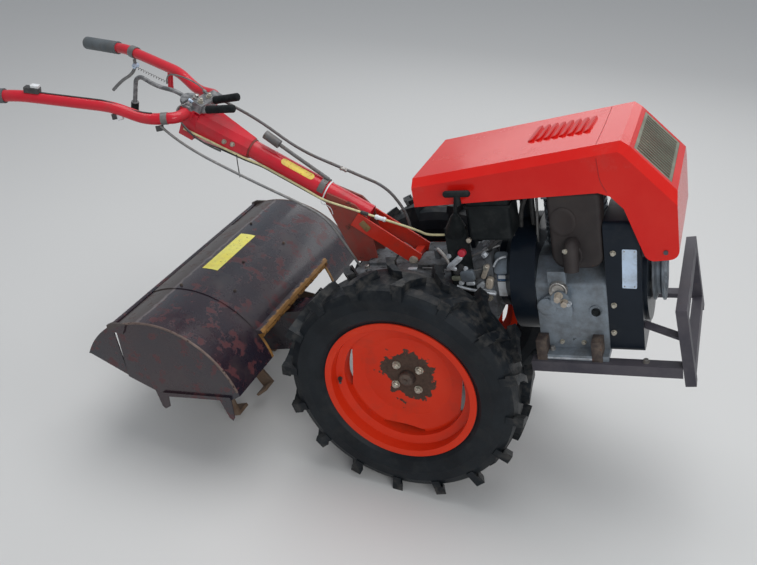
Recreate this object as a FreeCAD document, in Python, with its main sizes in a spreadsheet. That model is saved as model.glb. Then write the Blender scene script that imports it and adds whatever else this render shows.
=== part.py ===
import FreeCAD, Part
import math
import os
import Sketcher

# Two-wheel walking tractor with a rear tiller, in millimetres.
# Every piece is drawn in the machine's own frame: U forward, V to the left, W up, the wheel axle at the origin.
# The parked machine is pitched nose up about its axle, so that wheels and tiller tines share the ground.

SIZES = {
    # Stance and wheels
    "tyre_radius": 322,
    "tyre_width": 135,
    "track": 450,
    "lug_tall": 20,
    "lug_count": 16,
    "rim_radius": 203.5,
    "rim_width": 110,
    "rim_sheet": 4,
    "flange_tall": 13.5,
    "well_deep": 22,
    "disc_sheet": 5,
    "disc_inset": 15,
    "bolt_circle": 88,
    "bolt_hole": 13,
    "hub_radius": 62,
    "hub_sheet": 10,
    "shaft_radius": 17,
    "running_gap": 0.05,
    "seat_gap": 0.3,
    # Gear housing and axle tubes
    "gearbox_width": 190,
    "gearbox_rear": 180,
    "gearbox_front": 230,
    "gearbox_floor": 62,
    "gearbox_rise": 37,
    "housing_radius": 40,
    # Engine
    "crank_height": 208,
    "bell_radius": 147,
    "bell_front": 343,
    "bell_rear": 283,
    "crankcase_length": 164,
    "crankcase_width": 280,
    "crankcase_top": 286,
    "crankcase_foot": 54,
    "foot_thick": 14,
    "foot_width": 352,
    "cylinder_radius": 62,
    "fin_radius": 74,
    "fin_count": 9,
    "fin_pitch": 15,
    "shroud_length": 78,
    "shroud_width": 284,
    "shroud_floor": 62,
    "shroud_top": 396,
    "shroud_sheet": 4,
    "pulley_radius": 72,
    "head_half": 66,
    "port_height": 154,
    "muffler_length": 117,
    "muffler_depth": 58,
    "muffler_tall": 188,
    "muffler_low": 282,
    "muffler_near": 141,
    "outlet_radius": 17,
    "outlet_reach": 26,
    "filter_rear": 194,
    "filter_long": 104,
    "filter_wide": 84,
    "filter_side": 84,
    "filter_low": 348,
    "filter_tall": 116,
    # Bonnet
    "bonnet_half": 150,
    "bonnet_length": 495,
    "bonnet_top_rear": 517,
    "bonnet_top_front": 583,
    "bonnet_nose_top": 570,
    "bonnet_edge_rear": 451,
    "bonnet_edge_front": 473,
    "bonnet_nose_low": 313,
    "bonnet_rear": 78,
    "bonnet_sheet": 3,
    "bonnet_bevel": 18,
    "nose_slope": 48.2,
    "nose_length": 139.5,
    "grille_border": 12,
    "grille_slots": 16,
    # Engine rails and bumper
    "rail_deep": 28,
    "bumper_foot": 676,
    "bumper_low": 4,
    "bumper_bar": 24,
    "rail_wide": 30,
    "bumper_half": 172,
    "bumper_tall": 200,
    "bumper_lean": 5,
    # Handlebar
    "column_radius": 25,
    "column_angle": 32.9,
    "column_front": 112,
    "column_rise": 124,
    "column_length": 450,
    "sleeve_grip": 80,
    "sleeve_length": 150,
    "sleeve_wide": 100,
    "sleeve_deep": 76,
    "sleeve_sheet": 3,
    "sleeve_corner": 15,
    "handle_root": 60,
    "lever_grip": 9.5,
    "hook_radius": 6,
    "rod_radius": 4,
    "cream_radius": 3,
    "black_radius": 3.5,
    "clutch_forward": 155,
    "clutch_near": 104,
    "clutch_stand": 375,
    "handle_radius": 15,
    "grip_radius": 19,
    "grip_length": 142,
    # Tiller
    "rotor_back": 643,
    "tine_radius": 195,
    "tine_width": 38,
    "tine_thick": 8,
    "tine_foot": 46,
    "flange_radius": 62,
    "rotor_shaft": 20,
    "rotor_half": 205,
    "hood_radius": 256,
    "hood_half": 396,
    "hood_sheet": 3,
    "hood_seam": 215,
    "hood_hinge_angle": 108,
    "hood_front_angle": 27,
    "hood_cheek_angle": 9,
    "hood_rear_angle": 145.5,
    "hinge_pin": 3.5,
    "knuckle_radius": 6.5,
    "case_half": 42,
    "tine_rows": 16,
    "bonnet_pin": 5,
    "bonnet_pin_ahead": 67,
    "bonnet_pin_up": 330,
    "tank_length": 200,
    "tank_width": 150,
    "tank_low": 396,
    "tank_tall": 92,
}

document = FreeCAD.newDocument("walking_tractor")
sheet = document.addObject("Spreadsheet::Sheet", "sizes")
for row, (alias, value) in enumerate(SIZES.items(), 1):
    sheet.set("A%d" % row, str(value))
    sheet.setAlias("A%d" % row, alias)
document.recompute()


class Size:
    """A length together with the formula that ties it to the sheet."""

    def __init__(self, value, text):
        self.value = float(value)
        self.text = text

    def __add__(self, other):
        other = size(other)
        return Size(self.value + other.value, "(%s + %s)" % (self.text, other.text))

    def __sub__(self, other):
        other = size(other)
        return Size(self.value - other.value, "(%s - %s)" % (self.text, other.text))

    def __mul__(self, other):
        other = size(other)
        return Size(self.value * other.value, "(%s * %s)" % (self.text, other.text))

    def __truediv__(self, other):
        other = size(other)
        return Size(self.value / other.value, "(%s / %s)" % (self.text, other.text))

    def __rtruediv__(self, other):
        return size(other) / self

    def __neg__(self):
        return Size(-self.value, "(0 - %s)" % self.text)

    __radd__ = __add__
    __rmul__ = __mul__

    def __rsub__(self, other):
        return size(other) - self

    def __float__(self):
        return self.value


def size(number):
    return number if isinstance(number, Size) else Size(number, repr(float(number)))


def named(alias):
    return Size(getattr(sheet, alias), "sizes.%s" % alias)


def sine(angle):
    angle = size(angle)
    return Size(math.sin(math.radians(angle.value)), "sin(%s * 1 deg)" % angle.text)


def cosine(angle):
    angle = size(angle)
    return Size(math.cos(math.radians(angle.value)), "cos(%s * 1 deg)" % angle.text)


globals().update({alias: named(alias) for alias in SIZES})
bead_radius = rim_radius - flange_tall
well_radius = bead_radius - well_deep
gearbox_top = crank_height + gearbox_rise
bonnet_pin_forward = bonnet_rear + bonnet_length + bonnet_pin_ahead
column_low = gearbox_top + column_rise
crankcase_rear = bell_front + seat_gap
cylinder_middle = crankcase_rear + crankcase_length / 2
shroud_rear = crankcase_rear + crankcase_length + seat_gap
shroud_front = shroud_rear + shroud_length
muffler_rear = shroud_rear - 1.6 - muffler_length
PIECES = {}

# Parked, the machine stands on its tyres and on two neighbouring rows of tines, which sets the pitch.
TINE_STEP = 180 / tine_rows.value
ROTOR_HEIGHT = tine_radius.value * math.cos(math.radians(TINE_STEP))
PITCH = math.degrees(math.asin((tyre_radius.value - ROTOR_HEIGHT) / rotor_back.value))
ALONG_U, ALONG_V, ALONG_W = "YZ_Plane", "XZ_Plane", "XY_Plane"


def bind(item, name, value):
    value = size(value)
    setattr(item, name, value.value)
    if "sizes." in value.text:
        item.setExpression(name, value.text)


def piece(label):
    body = document.addObject("PartDesign::Body", label)
    body.Label = label
    PIECES[label] = body
    return body


def plane_of(body, role):
    return next(item for item in body.Origin.OriginFeatures if item.Role == role)


def sketch_on(body, role, offset=0, turn=0):
    """A sketch on one of the body's own origin planes, moved off it and turned about the V axis if asked."""
    sketch = body.newObject("Sketcher::SketchObject", body.Label + "_sketch")
    sketch.AttachmentSupport = [(plane_of(body, role), "")]
    sketch.MapMode = "FlatFace"
    turn = size(turn)
    aside, above = offset * sine(turn), offset * cosine(turn)
    place = FreeCAD.Vector(aside.value, 0, above.value)
    sketch.AttachmentOffset = FreeCAD.Placement(place, FreeCAD.Rotation(FreeCAD.Vector(0, 1, 0), turn.value))
    for name, value in (("Base.x", aside), ("Base.z", above), ("Rotation.Angle", turn)):
        if "sizes." in value.text:
            sketch.setExpression("AttachmentOffset." + name, value.text)
    return sketch


def outline(sketch, points):
    """A closed polygon with every corner tied to the sheet by its two distances from the origin."""
    spots = [(size(a), size(b)) for a, b in points]
    count = len(spots)
    first = sketch.GeometryCount
    for here, there in zip(spots, spots[1:] + spots[:1]):
        start = FreeCAD.Vector(here[0].value, here[1].value, 0)
        end = FreeCAD.Vector(there[0].value, there[1].value, 0)
        sketch.addGeometry(Part.LineSegment(start, end), False)
    for index in range(count):
        sketch.addConstraint(Sketcher.Constraint("Coincident", first + index, 2, first + (index + 1) % count, 1))
    for index, spot in enumerate(spots):
        for kind, value in zip(("DistanceX", "DistanceY"), spot):
            number = sketch.addConstraint(Sketcher.Constraint(kind, -1, 1, first + index, 1, value.value))
            if "sizes." in value.text:
                sketch.setExpression("Constraints[%d]" % number, value.text)
    return sketch


def ring(sketch, across, up, radius):
    """A circle tied to the sheet by its centre and radius."""
    across, up, radius = size(across), size(up), size(radius)
    middle = FreeCAD.Vector(across.value, up.value, 0)
    number = sketch.addGeometry(Part.Circle(middle, FreeCAD.Vector(0, 0, 1), radius.value), False)
    for kind, value in (("DistanceX", across), ("DistanceY", up), ("Radius", radius)):
        if kind == "Radius":
            made = sketch.addConstraint(Sketcher.Constraint(kind, number, value.value))
        else:
            made = sketch.addConstraint(Sketcher.Constraint(kind, -1, 1, number, 3, value.value))
        if "sizes." in value.text:
            sketch.setExpression("Constraints[%d]" % made, value.text)
    return sketch


def feature(body, kind, sketch, label):
    item = body.newObject("PartDesign::" + kind, body.Label + "_" + label)
    item.Profile = sketch
    return item


def pad(body, sketch, length, middle=False, back=False):
    item = feature(body, "Pad", sketch, "pad")
    bind(item, "Length", length)
    item.Midplane = middle
    item.Reversed = back
    return item


def pocket(body, sketch, length=None, middle=False, back=False):
    item = feature(body, "Pocket", sketch, "pocket")
    item.Midplane = middle
    item.Reversed = back
    if length is None:
        item.Type = 1
    else:
        bind(item, "Length", length)
    return item


def turned(body, sketch, axis="H_Axis", kind="Revolution"):
    item = feature(body, kind, sketch, "turned")
    item.ReferenceAxis = (sketch, [axis])
    item.Angle = 360
    return item


def repeated(body, source, role, count):
    item = body.newObject("PartDesign::PolarPattern", body.Label + "_repeat")
    item.Originals = source
    item.Axis = (next(part for part in body.Origin.OriginFeatures if part.Role == role), [""])
    item.Angle = 360
    count = size(count)
    item.Occurrences = round(count.value)
    if "sizes." in count.text:
        item.setExpression("Occurrences", count.text)
    body.Tip = item
    return item


def rounded(body, radius, test, kind="Fillet"):
    """A fillet or chamfer on the edges of the tip that pass the test, which reads an edge."""
    document.recompute()
    base = body.Tip
    names = ["Edge%d" % number for number, edge in enumerate(base.Shape.Edges, 1) if test(edge)]
    item = body.newObject("PartDesign::" + kind, body.Label + "_" + kind.lower())
    item.Base = (base, names)
    bind(item, "Radius" if kind == "Fillet" else "Size", radius)
    return item


def runs_along(edge, axis):
    """True for a straight edge that lies along one of the frame's axes: 0, 1 or 2."""
    if edge.Curve.TypeId != "Part::GeomLine":
        return False
    return abs(abs(edge.Curve.Direction[axis]) - 1) < 1e-6


def shape_piece(label, shape):
    item = document.addObject("Part::Feature", label)
    item.Label = label
    item.Shape = shape
    PIECES[label] = item
    return item


def moved(label, forward=0, left=0, up=0):
    place = FreeCAD.Vector(float(forward), float(left), float(up))
    PIECES[label].Placement = FreeCAD.Placement(place, FreeCAD.Rotation())


def path_wire(points, limit=1000, bends=0.45):
    """Straight runs joined by tangent arcs; each arc takes its share of the shorter run beside it, up to a limit."""
    spots = [FreeCAD.Vector(*[float(number) for number in point]) for point in points]
    edges = []
    start = spots[0]
    for before, corner, after in zip(spots, spots[1:], spots[2:]):
        inward, outward = (corner - before), (after - corner)
        turn = inward.getAngle(outward)
        tangent = min(limit, bends * min(inward.Length, outward.Length))
        inward.normalize()
        outward.normalize()
        first = corner - inward * tangent
        last = corner + outward * tangent
        bisector = (outward - inward).normalize()
        radius = tangent / math.tan(turn / 2)
        middle = corner + bisector * (math.hypot(radius, tangent) - radius)
        edges.append(Part.LineSegment(start, first).toShape())
        edges.append(Part.Arc(first, middle, last).toShape())
        start = last
    edges.append(Part.LineSegment(start, spots[-1]).toShape())
    return Part.Wire(edges)


def tube(points, radius, wall=None, limit=1000, bends=0.45):
    """A round bar or tube along straight runs and arcs."""
    spine = path_wire(points, limit, bends)
    start = FreeCAD.Vector(*[float(number) for number in points[0]])
    aim = FreeCAD.Vector(*[float(number) for number in points[1]]) - start
    rings = [Part.Wire(Part.Circle(start, aim, float(radius)).toShape())]
    body = spine.makePipeShell(rings, True, False)
    if wall is None:
        return body
    bore = Part.Wire(Part.Circle(start, aim, float(radius) - float(wall)).toShape())
    return body.cut(spine.makePipeShell([bore], True, False))


# Wheels: tyre, rim with its disc, and hub, about the V axis through the axle. The outer side of the left wheel is +V.

LUG_LOW = tyre_radius - lug_tall


def make_tyre(label):
    body = piece(label)
    half = tyre_width / 2
    seat = bead_radius + seat_gap
    flange = rim_width / 2 - rim_sheet - seat_gap
    section = sketch_on(body, ALONG_U)
    tall = LUG_LOW - rim_radius
    outer = [(-flange, seat), (-flange, rim_radius + tall * 0.02), (-half + 7, rim_radius + tall * 0.13),
             (-half, rim_radius + tall * 0.46), (-half + 2, rim_radius + tall * 0.74),
             (-half + 12, rim_radius + tall * 0.94), (-half + 34, LUG_LOW)]
    inner = [(-half + 34, LUG_LOW - tall * 0.14), (-half + 14, rim_radius + tall * 0.74),
             (-half + 9, rim_radius + tall * 0.46), (-half + 17, rim_radius + tall * 0.16),
             (-flange + 12, rim_radius - 2), (-flange + 12, seat)]
    left_outer = [(-a, b) for a, b in reversed(outer)]
    left_inner = [(-a, b) for a, b in reversed(inner)]
    outline(section, outer + left_outer + left_inner + inner)
    turned(body, section)
    for side in (-1, 1):
        lug = sketch_on(body, ALONG_W, LUG_LOW - 5, 0 if side < 0 else 180 / size(lug_count))
        spine = [(34, 0), (6, 0.45), (-12, 1)]
        front = [(along + 11, half * share * side) for along, share in spine]
        back = [(along - 11, half * share * side) for along, share in reversed(spine)]
        outline(lug, front + back)
        block = pad(body, lug, lug_tall + 10)
        shoulder = sketch_on(body, ALONG_W, LUG_LOW - 24, 0 if side < 0 else 180 / size(lug_count))
        ends = [(-14.5, 1), (7.5, 1), (11.5, 0.78), (-10.5, 0.78)]
        outline(shoulder, [(along - 2, half * share * side) for along, share in ends])
        heel = pad(body, shoulder, lug_tall + 29)
        repeated(body, [block, heel], "Y_Axis", lug_count)
    trim = sketch_on(body, ALONG_U)
    outline(trim, [(-half - 5, tyre_radius), (half + 5, tyre_radius), (half + 5, tyre_radius + 20), (-half - 5, tyre_radius + 20)])
    turned(body, trim, kind="Groove")
    return body


def make_rim(label):
    body = piece(label)
    face = -disc_inset
    edge = well_radius - rim_sheet + 1
    disc = sketch_on(body, ALONG_U)
    outline(disc, [(face, 22), (face, edge - 46), (face + 14, edge - 8), (face + 14, edge),
                   (face + 14 - disc_sheet, edge), (face + 14 - disc_sheet, edge - 6),
                   (face - disc_sheet, edge - 44), (face - disc_sheet, 22)])
    turned(body, disc)
    slot = sketch_on(body, ALONG_V)
    chord = edge - 16
    outline(slot, [(chord, -58), (edge + 20, -58), (edge + 20, 58), (chord, 58)])
    cut = pocket(body, slot, 60, middle=True)
    repeated(body, [cut], "Y_Axis", 4)
    drill_bolt_circle(body)
    half = rim_width / 2
    wall = rim_sheet
    outside = [(-half, rim_radius), (-half + wall, rim_radius), (-half + wall, bead_radius),
               (-half * 0.42, bead_radius - 2), (-half * 0.26, well_radius)]
    outside += [(-a, b) for a, b in reversed(outside)]
    inside = [(half, rim_radius - 2 * wall), (half - 1, bead_radius - wall),
              (half * 0.42 + 2, bead_radius - 2 - wall), (half * 0.26 + 3, well_radius - wall)]
    inside += [(-a, b) for a, b in reversed(inside)]
    section = sketch_on(body, ALONG_U)
    outline(section, outside + inside)
    turned(body, section)
    return body


def drill_bolt_circle(body):
    holes = sketch_on(body, ALONG_V)
    ring(holes, bolt_circle / 2 * cosine(45), bolt_circle / 2 * sine(45), bolt_hole / 2)
    drilled = pocket(body, holes, track, middle=True)
    repeated(body, [drilled], "Y_Axis", 4)


def make_hub(label):
    body = piece(label)
    section = sketch_on(body, ALONG_U)
    face = -disc_inset - disc_sheet
    inner_end = 118 - track / 2
    outline(section, [(inner_end, 0), (face + 18, 0), (face + 18, 19), (face, 21.7), (face, hub_radius),
                      (face - hub_sheet, hub_radius), (face - hub_sheet, shaft_radius), (inner_end, shaft_radius)])
    turned(body, section)
    drill_bolt_circle(body)
    return body


def make_axle_housing(label):
    body = piece(label)
    root = gearbox_width / 2 + seat_gap
    tip = track / 2 - disc_inset - disc_sheet - hub_sheet - 3
    bore = shaft_radius + running_gap
    section = sketch_on(body, ALONG_U)
    outline(section, [(root, 0), (root, 70), (root + 12, 70), (root + 12, housing_radius + 8), (tip - 14, housing_radius),
                      (tip - 14, housing_radius + 5), (tip, housing_radius + 5), (tip, bore), (116, bore), (116, 0)])
    turned(body, section)
    return body


def mirrored_place(forward, left, up):
    """The place of a right-hand piece: the left-hand one turned half a turn about W."""
    turn = FreeCAD.Rotation(FreeCAD.Vector(0, 0, 1), 180)
    return FreeCAD.Placement(FreeCAD.Vector(float(forward), -float(left), float(up)), turn)


for side in ("left", "right"):
    for make, name, apart in ((make_tyre, "tyre_", track / 2), (make_rim, "rim_", track / 2),
                              (make_hub, "hub_", track / 2), (make_axle_housing, "axle_housing_", size(0))):
        made = make(name + side)
        if side == "left":
            moved(name + side, 0, apart, 0)
        elif make is make_tyre:
            moved(name + side, 0, -apart, 0)
        else:
            made.Placement = mirrored_place(0, apart, 0)


# Gear housing, clutch bell and tiller case, cast in light alloy.

def make_gearbox():
    body = piece("gearbox")
    side = sketch_on(body, ALONG_V)
    rear, front, floor, top = -gearbox_rear, gearbox_front, -gearbox_floor, gearbox_top
    outline(side, [(rear, floor + 22), (rear + 25, floor), (90, floor), (150, floor + 60), (front, crank_height - 92),
                   (front, crank_height + 92), (150, top), (rear + 30, top), (rear, top - 60)])
    pad(body, side, gearbox_width, middle=True)
    rounded(body, 14, lambda edge: not runs_along(edge, 1) and abs(edge.CenterOfMass.x) < 229)
    nose = sketch_on(body, ALONG_U, rear - 12)
    ring(nose, 0, 50, 68)
    pad(body, nose, 20)
    neck = sketch_on(body, ALONG_U, front - 4)
    ring(neck, 0, crank_height, 92)
    pad(body, neck, 14)


def make_bell():
    body = piece("clutch_bell")
    section = sketch_on(body, ALONG_V)
    start = gearbox_front + 10 + seat_gap
    outline(section, [(start, crank_height), (start, crank_height + 92), (start + 16, crank_height + 92),
                      (bell_rear, crank_height + bell_radius - 14), (bell_rear, crank_height + bell_radius),
                      (bell_front, crank_height + bell_radius), (bell_front, crank_height)])
    turn = turned_about(body, section, crank_height)
    return turn


def turned_about(body, sketch, height):
    """A revolution about the line along U at the given height, drawn in the sketch as its own axis."""
    height = size(height)
    base = FreeCAD.Vector(0, height.value, 0)
    number = sketch.addGeometry(Part.LineSegment(base, base + FreeCAD.Vector(10, 0, 0)), True)
    for kind, spot, value in (("DistanceX", 1, size(0)), ("DistanceX", 2, size(10)), ("DistanceY", 1, height),
                              ("DistanceY", 2, height)):
        made = sketch.addConstraint(Sketcher.Constraint(kind, -1, 1, number, spot, value.value))
        if "sizes." in value.text:
            sketch.setExpression("Constraints[%d]" % made, value.text)
    return turned(body, sketch, "Axis0")


def make_crankcase():
    body = piece("crankcase")
    start = crankcase_rear
    finish = start + crankcase_length
    foot = sketch_on(body, ALONG_W, crankcase_foot + seat_gap)
    outline(foot, [(start, -foot_width / 2), (finish, -foot_width / 2), (finish, foot_width / 2), (start, foot_width / 2)])
    pad(body, foot, foot_thick)
    block = sketch_on(body, ALONG_U, start)
    half = crankcase_width / 2
    low = crankcase_foot + foot_thick - 1
    outline(block, [(-half, low), (half, low), (half, crankcase_top - 46), (half - 66, crankcase_top),
                    (-half + 66, crankcase_top), (-half, crankcase_top - 46)])
    pad(body, block, crankcase_length)
    rounded(body, 12, lambda edge: runs_along(edge, 0) and edge.CenterOfMass.z > 200)
    cover = sketch_on(body, ALONG_V, half)
    ring(cover, start + 44, crank_height - 30, 40)
    pad(body, cover, 9)
    filler = sketch_on(body, ALONG_V, half)
    ring(filler, start + 62, crank_height + 8, 22)
    pad(body, filler, 30)
    box = sketch_on(body, ALONG_V, half)
    outline(box, [(start + 34, crank_height + 20), (start + 76, crank_height + 20), (start + 76, crank_height + 74),
                  (start + 34, crank_height + 74)])
    pad(body, box, 14)


def make_cylinder():
    shape = Part.makeCylinder(float(cylinder_radius), 170, FreeCAD.Vector(0, 0, 0))
    for number in range(int(float(fin_count))):
        fin = Part.makeCylinder(float(fin_radius), 5, FreeCAD.Vector(0, 0, 12 + number * float(fin_pitch)))
        shape = shape.fuse(fin)
    half = head_half.value
    head = Part.makeBox(2 * half, 2 * half, 44, FreeCAD.Vector(-half, -half, 140))
    cover = Part.makeBox(96, 70, 22, FreeCAD.Vector(-48, -35, 184))
    shape = shape.fuse(head).fuse(cover)
    shape_piece("cylinder", shape.removeSplitter())
    moved("cylinder", cylinder_middle, 0, crankcase_top + seat_gap)


def make_shroud():
    body = piece("fan_shroud")
    start = shroud_rear
    half = shroud_width / 2
    box = sketch_on(body, ALONG_U, start)
    outline(box, [(-half, shroud_floor), (half, shroud_floor), (half, shroud_top), (-half, shroud_top)])
    pad(body, box, shroud_length)
    rounded(body, 16, lambda edge: runs_along(edge, 0))
    hollow = sketch_on(body, ALONG_U, start)
    inner = half - shroud_sheet
    outline(hollow, [(-inner, shroud_floor + 20), (-inner + 16, shroud_floor + shroud_sheet),
                     (inner - 16, shroud_floor + shroud_sheet), (inner, shroud_floor + 20),
                     (inner, shroud_top - 20), (inner - 16, shroud_top - shroud_sheet),
                     (-inner + 16, shroud_top - shroud_sheet), (-inner, shroud_top - 20)])
    pocket(body, hollow, shroud_length - shroud_sheet, back=True)
    intake = sketch_on(body, ALONG_U, start + shroud_length)
    ring(intake, 0, crank_height, 120)
    pad(body, intake, 8)


def make_pulley():
    body = piece("starter_pulley")
    start = shroud_front + 8 + seat_gap
    section = sketch_on(body, ALONG_V)
    axis, rim = crank_height, crank_height + pulley_radius
    outline(section, [(start, axis), (start, axis + 30), (start + 6, axis + 30), (start + 6, rim), (start + 10, rim),
                      (start + 15, rim - 14), (start + 22, rim - 14), (start + 27, rim), (start + 32, rim),
                      (start + 32, rim - 20), (start + 20, rim - 22), (start + 20, axis + 22), (start + 34, axis + 18),
                      (start + 34, axis)])
    turned_about(body, section, crank_height)


def make_muffler():
    body = piece("muffler")
    start, low = muffler_rear, muffler_low
    box = sketch_on(body, ALONG_V, muffler_near - muffler_depth / 2)
    finish, top = start + muffler_length, low + muffler_tall
    outline(box, [(start, low), (finish, low), (finish, top), (start, top)])
    pad(body, box, muffler_depth, middle=True)
    rounded(body, 34, lambda edge: runs_along(edge, 1) and edge.CenterOfMass.z < low.value + 1)
    rounded(body, 14, lambda edge: runs_along(edge, 1) and edge.CenterOfMass.z > top.value - 1)
    rounded(body, 10, lambda edge: not runs_along(edge, 1))


def make_exhaust():
    middle = muffler_rear + muffler_length / 2 - 8
    near, high = -muffler_near - outlet_reach, muffler_low + 66
    outlet = tube([(middle, -muffler_near - seat_gap, high), (middle, near, high), (middle, near - 10.4, high - 52)],
                  outlet_radius, 2.5, bends=0.8)
    shape_piece("exhaust_outlet", outlet)
    start = FreeCAD.Vector((cylinder_middle - 4).value, (muffler_depth - muffler_near + seat_gap).value,
                           (crankcase_top + seat_gap + port_height).value)
    run = muffler_near - muffler_depth - 2 * seat_gap - head_half
    shape_piece("exhaust_pipe", Part.makeCylinder(13, run.value, start, FreeCAD.Vector(0, 1, 0)))


def make_filter():
    body = piece("air_filter")
    box = sketch_on(body, ALONG_W, filter_low)
    near = -filter_side - filter_wide / 2
    outline(box, [(filter_rear, near), (filter_rear + filter_long, near),
                  (filter_rear + filter_long, near + filter_wide), (filter_rear, near + filter_wide)])
    pad(body, box, filter_tall)
    rounded(body, 9, lambda edge: True)
    lid = sketch_on(body, ALONG_W, filter_low + filter_tall - 30)
    outline(lid, [(filter_rear - 3, near - 3), (filter_rear + filter_long + 3, near - 3),
                  (filter_rear + filter_long + 3, near + filter_wide + 3), (filter_rear - 3, near + filter_wide + 3)])
    pad(body, lid, 6)


# Engine rails and bumper, welded from steel bar.

def bumper_back(height):
    """The bumper's back face at a height: its posts lean backwards from their feet."""
    return bumper_foot - sine(bumper_lean) / cosine(bumper_lean) * (height - bumper_low)


def make_rail(label, side):
    body = piece(label)
    start = crankcase_rear - 18
    profile = sketch_on(body, ALONG_U, start)
    outer = side * (bumper_half + rail_wide / 2)
    inner = side * (bumper_half - rail_wide / 2)
    top, low = crankcase_foot, crankcase_foot - rail_deep
    wall = 4 * side
    outline(profile, [(outer, low), (outer, top), (inner, top), (inner, top - 4), (outer - wall, top - 4),
                      (outer - wall, low)])
    pad(body, profile, bumper_back(top) - seat_gap - start)


def make_bumper():
    body = piece("bumper")
    frame = sketch_on(body, ALONG_U)
    half = bumper_half + rail_wide / 2
    outline(frame, [(-half, 0), (half, 0), (half, bumper_tall), (-half, bumper_tall)])
    pad(body, frame, bumper_bar)
    window = sketch_on(body, ALONG_U)
    inner = half - rail_wide
    outline(window, [(-inner, rail_deep + 14), (inner, rail_deep + 14), (inner, bumper_tall - rail_wide),
                     (-inner, bumper_tall - rail_wide)])
    pocket(body, window, bumper_bar * 3, middle=True)
    notch = sketch_on(body, ALONG_U)
    outline(notch, [(-inner, -5), (inner, -5), (inner, 16), (-inner, 16)])
    pocket(body, notch, bumper_bar * 3, middle=True)
    lean = FreeCAD.Rotation(FreeCAD.Vector(0, 1, 0), -bumper_lean.value)
    body.Placement = FreeCAD.Placement(FreeCAD.Vector(bumper_foot.value, 0, bumper_low.value), lean)


def make_stay():
    body = piece("bumper_stay")
    start = shroud_front + seat_gap
    height = bumper_low + bumper_tall * 0.62
    finish = bumper_back(height + 6) - seat_gap
    plan = sketch_on(body, ALONG_W, height)
    near, post = -shroud_width / 2 + 4, -bumper_half
    outline(plan, [(start, near), (start, near + 26), (finish, post + 13), (finish, post - 13)])
    pad(body, plan, 6)


# Bonnet: a folded sheet shell over the engine, open at the back and below, with an inset grille.

NOSE_TOP = (bonnet_rear + bonnet_length, bonnet_nose_top)
NOSE_LOW = (NOSE_TOP[0] + nose_length * cosine(nose_slope), NOSE_TOP[1] - nose_length * sine(nose_slope))
NOSE_OUT = NOSE_TOP[0] * sine(nose_slope) + NOSE_TOP[1] * cosine(nose_slope)
NOSE_START = NOSE_TOP[0] * cosine(nose_slope) - NOSE_TOP[1] * sine(nose_slope)


def bonnet_block(label, sheet_off, rear_off, low_edge):
    """The bonnet's outer or inner form: its side view across the full width, bevelled along the upper edges."""
    body = document.addObject("PartDesign::Body", label)
    body.Label = label
    side = sketch_on(body, ALONG_V)
    rear, off = bonnet_rear, size(sheet_off)
    top = [(rear - rear_off, bonnet_top_rear - off), (NOSE_TOP[0] - 17 - off, bonnet_top_front - off),
           (NOSE_TOP[0] - off, NOSE_TOP[1] - off),
           (NOSE_LOW[0] - off, NOSE_LOW[1] - off)]
    outline(side, top + low_edge)
    pad(body, side, (bonnet_half - off) * 2, middle=True)
    half = bonnet_half.value - off.value
    rounded(body, bonnet_bevel - off * 0.59, lambda edge: abs(abs(edge.CenterOfMass.y) - half) < 0.1 and is_upper(edge),
            "Chamfer")
    return body


def make_bonnet():
    rear = bonnet_rear
    front, edge = NOSE_TOP[0], bonnet_edge_front
    arch = [(front + 28, bonnet_nose_low - 7), (front - 16, edge - 39), (front - 43, edge - 9), (front - 68, edge),
            (rear, bonnet_edge_rear)]
    outer = bonnet_block("bonnet_outside", 0, 0, [(NOSE_LOW[0] + 2, bonnet_nose_low)] + arch)
    rounded(outer, 22, lambda edge: runs_along(edge, 1) and edge.CenterOfMass.z < 320)
    window = sketch_on(outer, ALONG_W, NOSE_OUT, nose_slope)
    outline(window, grille_edge(0))
    pocket(outer, window, bonnet_sheet * 3)
    holes = sketch_on(outer, ALONG_V)
    ring(holes, bonnet_pin_forward, bonnet_pin_up, bonnet_pin + running_gap)
    pocket(outer, holes, bonnet_half * 3, middle=True)
    under = bonnet_nose_low - 33
    inner = bonnet_block("bonnet_inside", bonnet_sheet, 12, [(NOSE_LOW[0] + 2 - bonnet_sheet, under), (rear - 12, under)])
    shell = document.addObject("Part::Cut", "bonnet")
    shell.Label = "bonnet"
    shell.Base = outer
    shell.Tool = inner
    PIECES["bonnet"] = shell


def make_bonnet_hinge():
    body = piece("bonnet_hinge")
    start = shroud_front + seat_gap
    for side in (-1, 1):
        arm = sketch_on(body, ALONG_V, side * (bonnet_half - 30))
        outline(arm, [(start, bonnet_pin_up - 26), (bonnet_pin_forward + 8, bonnet_pin_up - 9),
                      (bonnet_pin_forward + 8, bonnet_pin_up + 9), (start, bonnet_pin_up + 14)])
        pad(body, arm, 6, middle=True)
    pin = sketch_on(body, ALONG_V)
    ring(pin, bonnet_pin_forward, bonnet_pin_up, bonnet_pin)
    pad(body, pin, bonnet_half * 2 + 8, middle=True)


def is_upper(edge):
    """True for the long upper edges of the bonnet's sides and for the sides of its slanted nose."""
    middle = edge.CenterOfMass
    return not runs_along(edge, 1) and (middle.z > 510 or middle.x > NOSE_TOP[0].value + 10 and middle.z > 480)


def grille_edge(gap):
    inset = grille_border + gap
    half = bonnet_half - bonnet_bevel - inset
    low, high = NOSE_START + inset, NOSE_START + nose_length - inset - 6
    return [(low, -half), (high, -half), (high, half), (low, half)]


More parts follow.
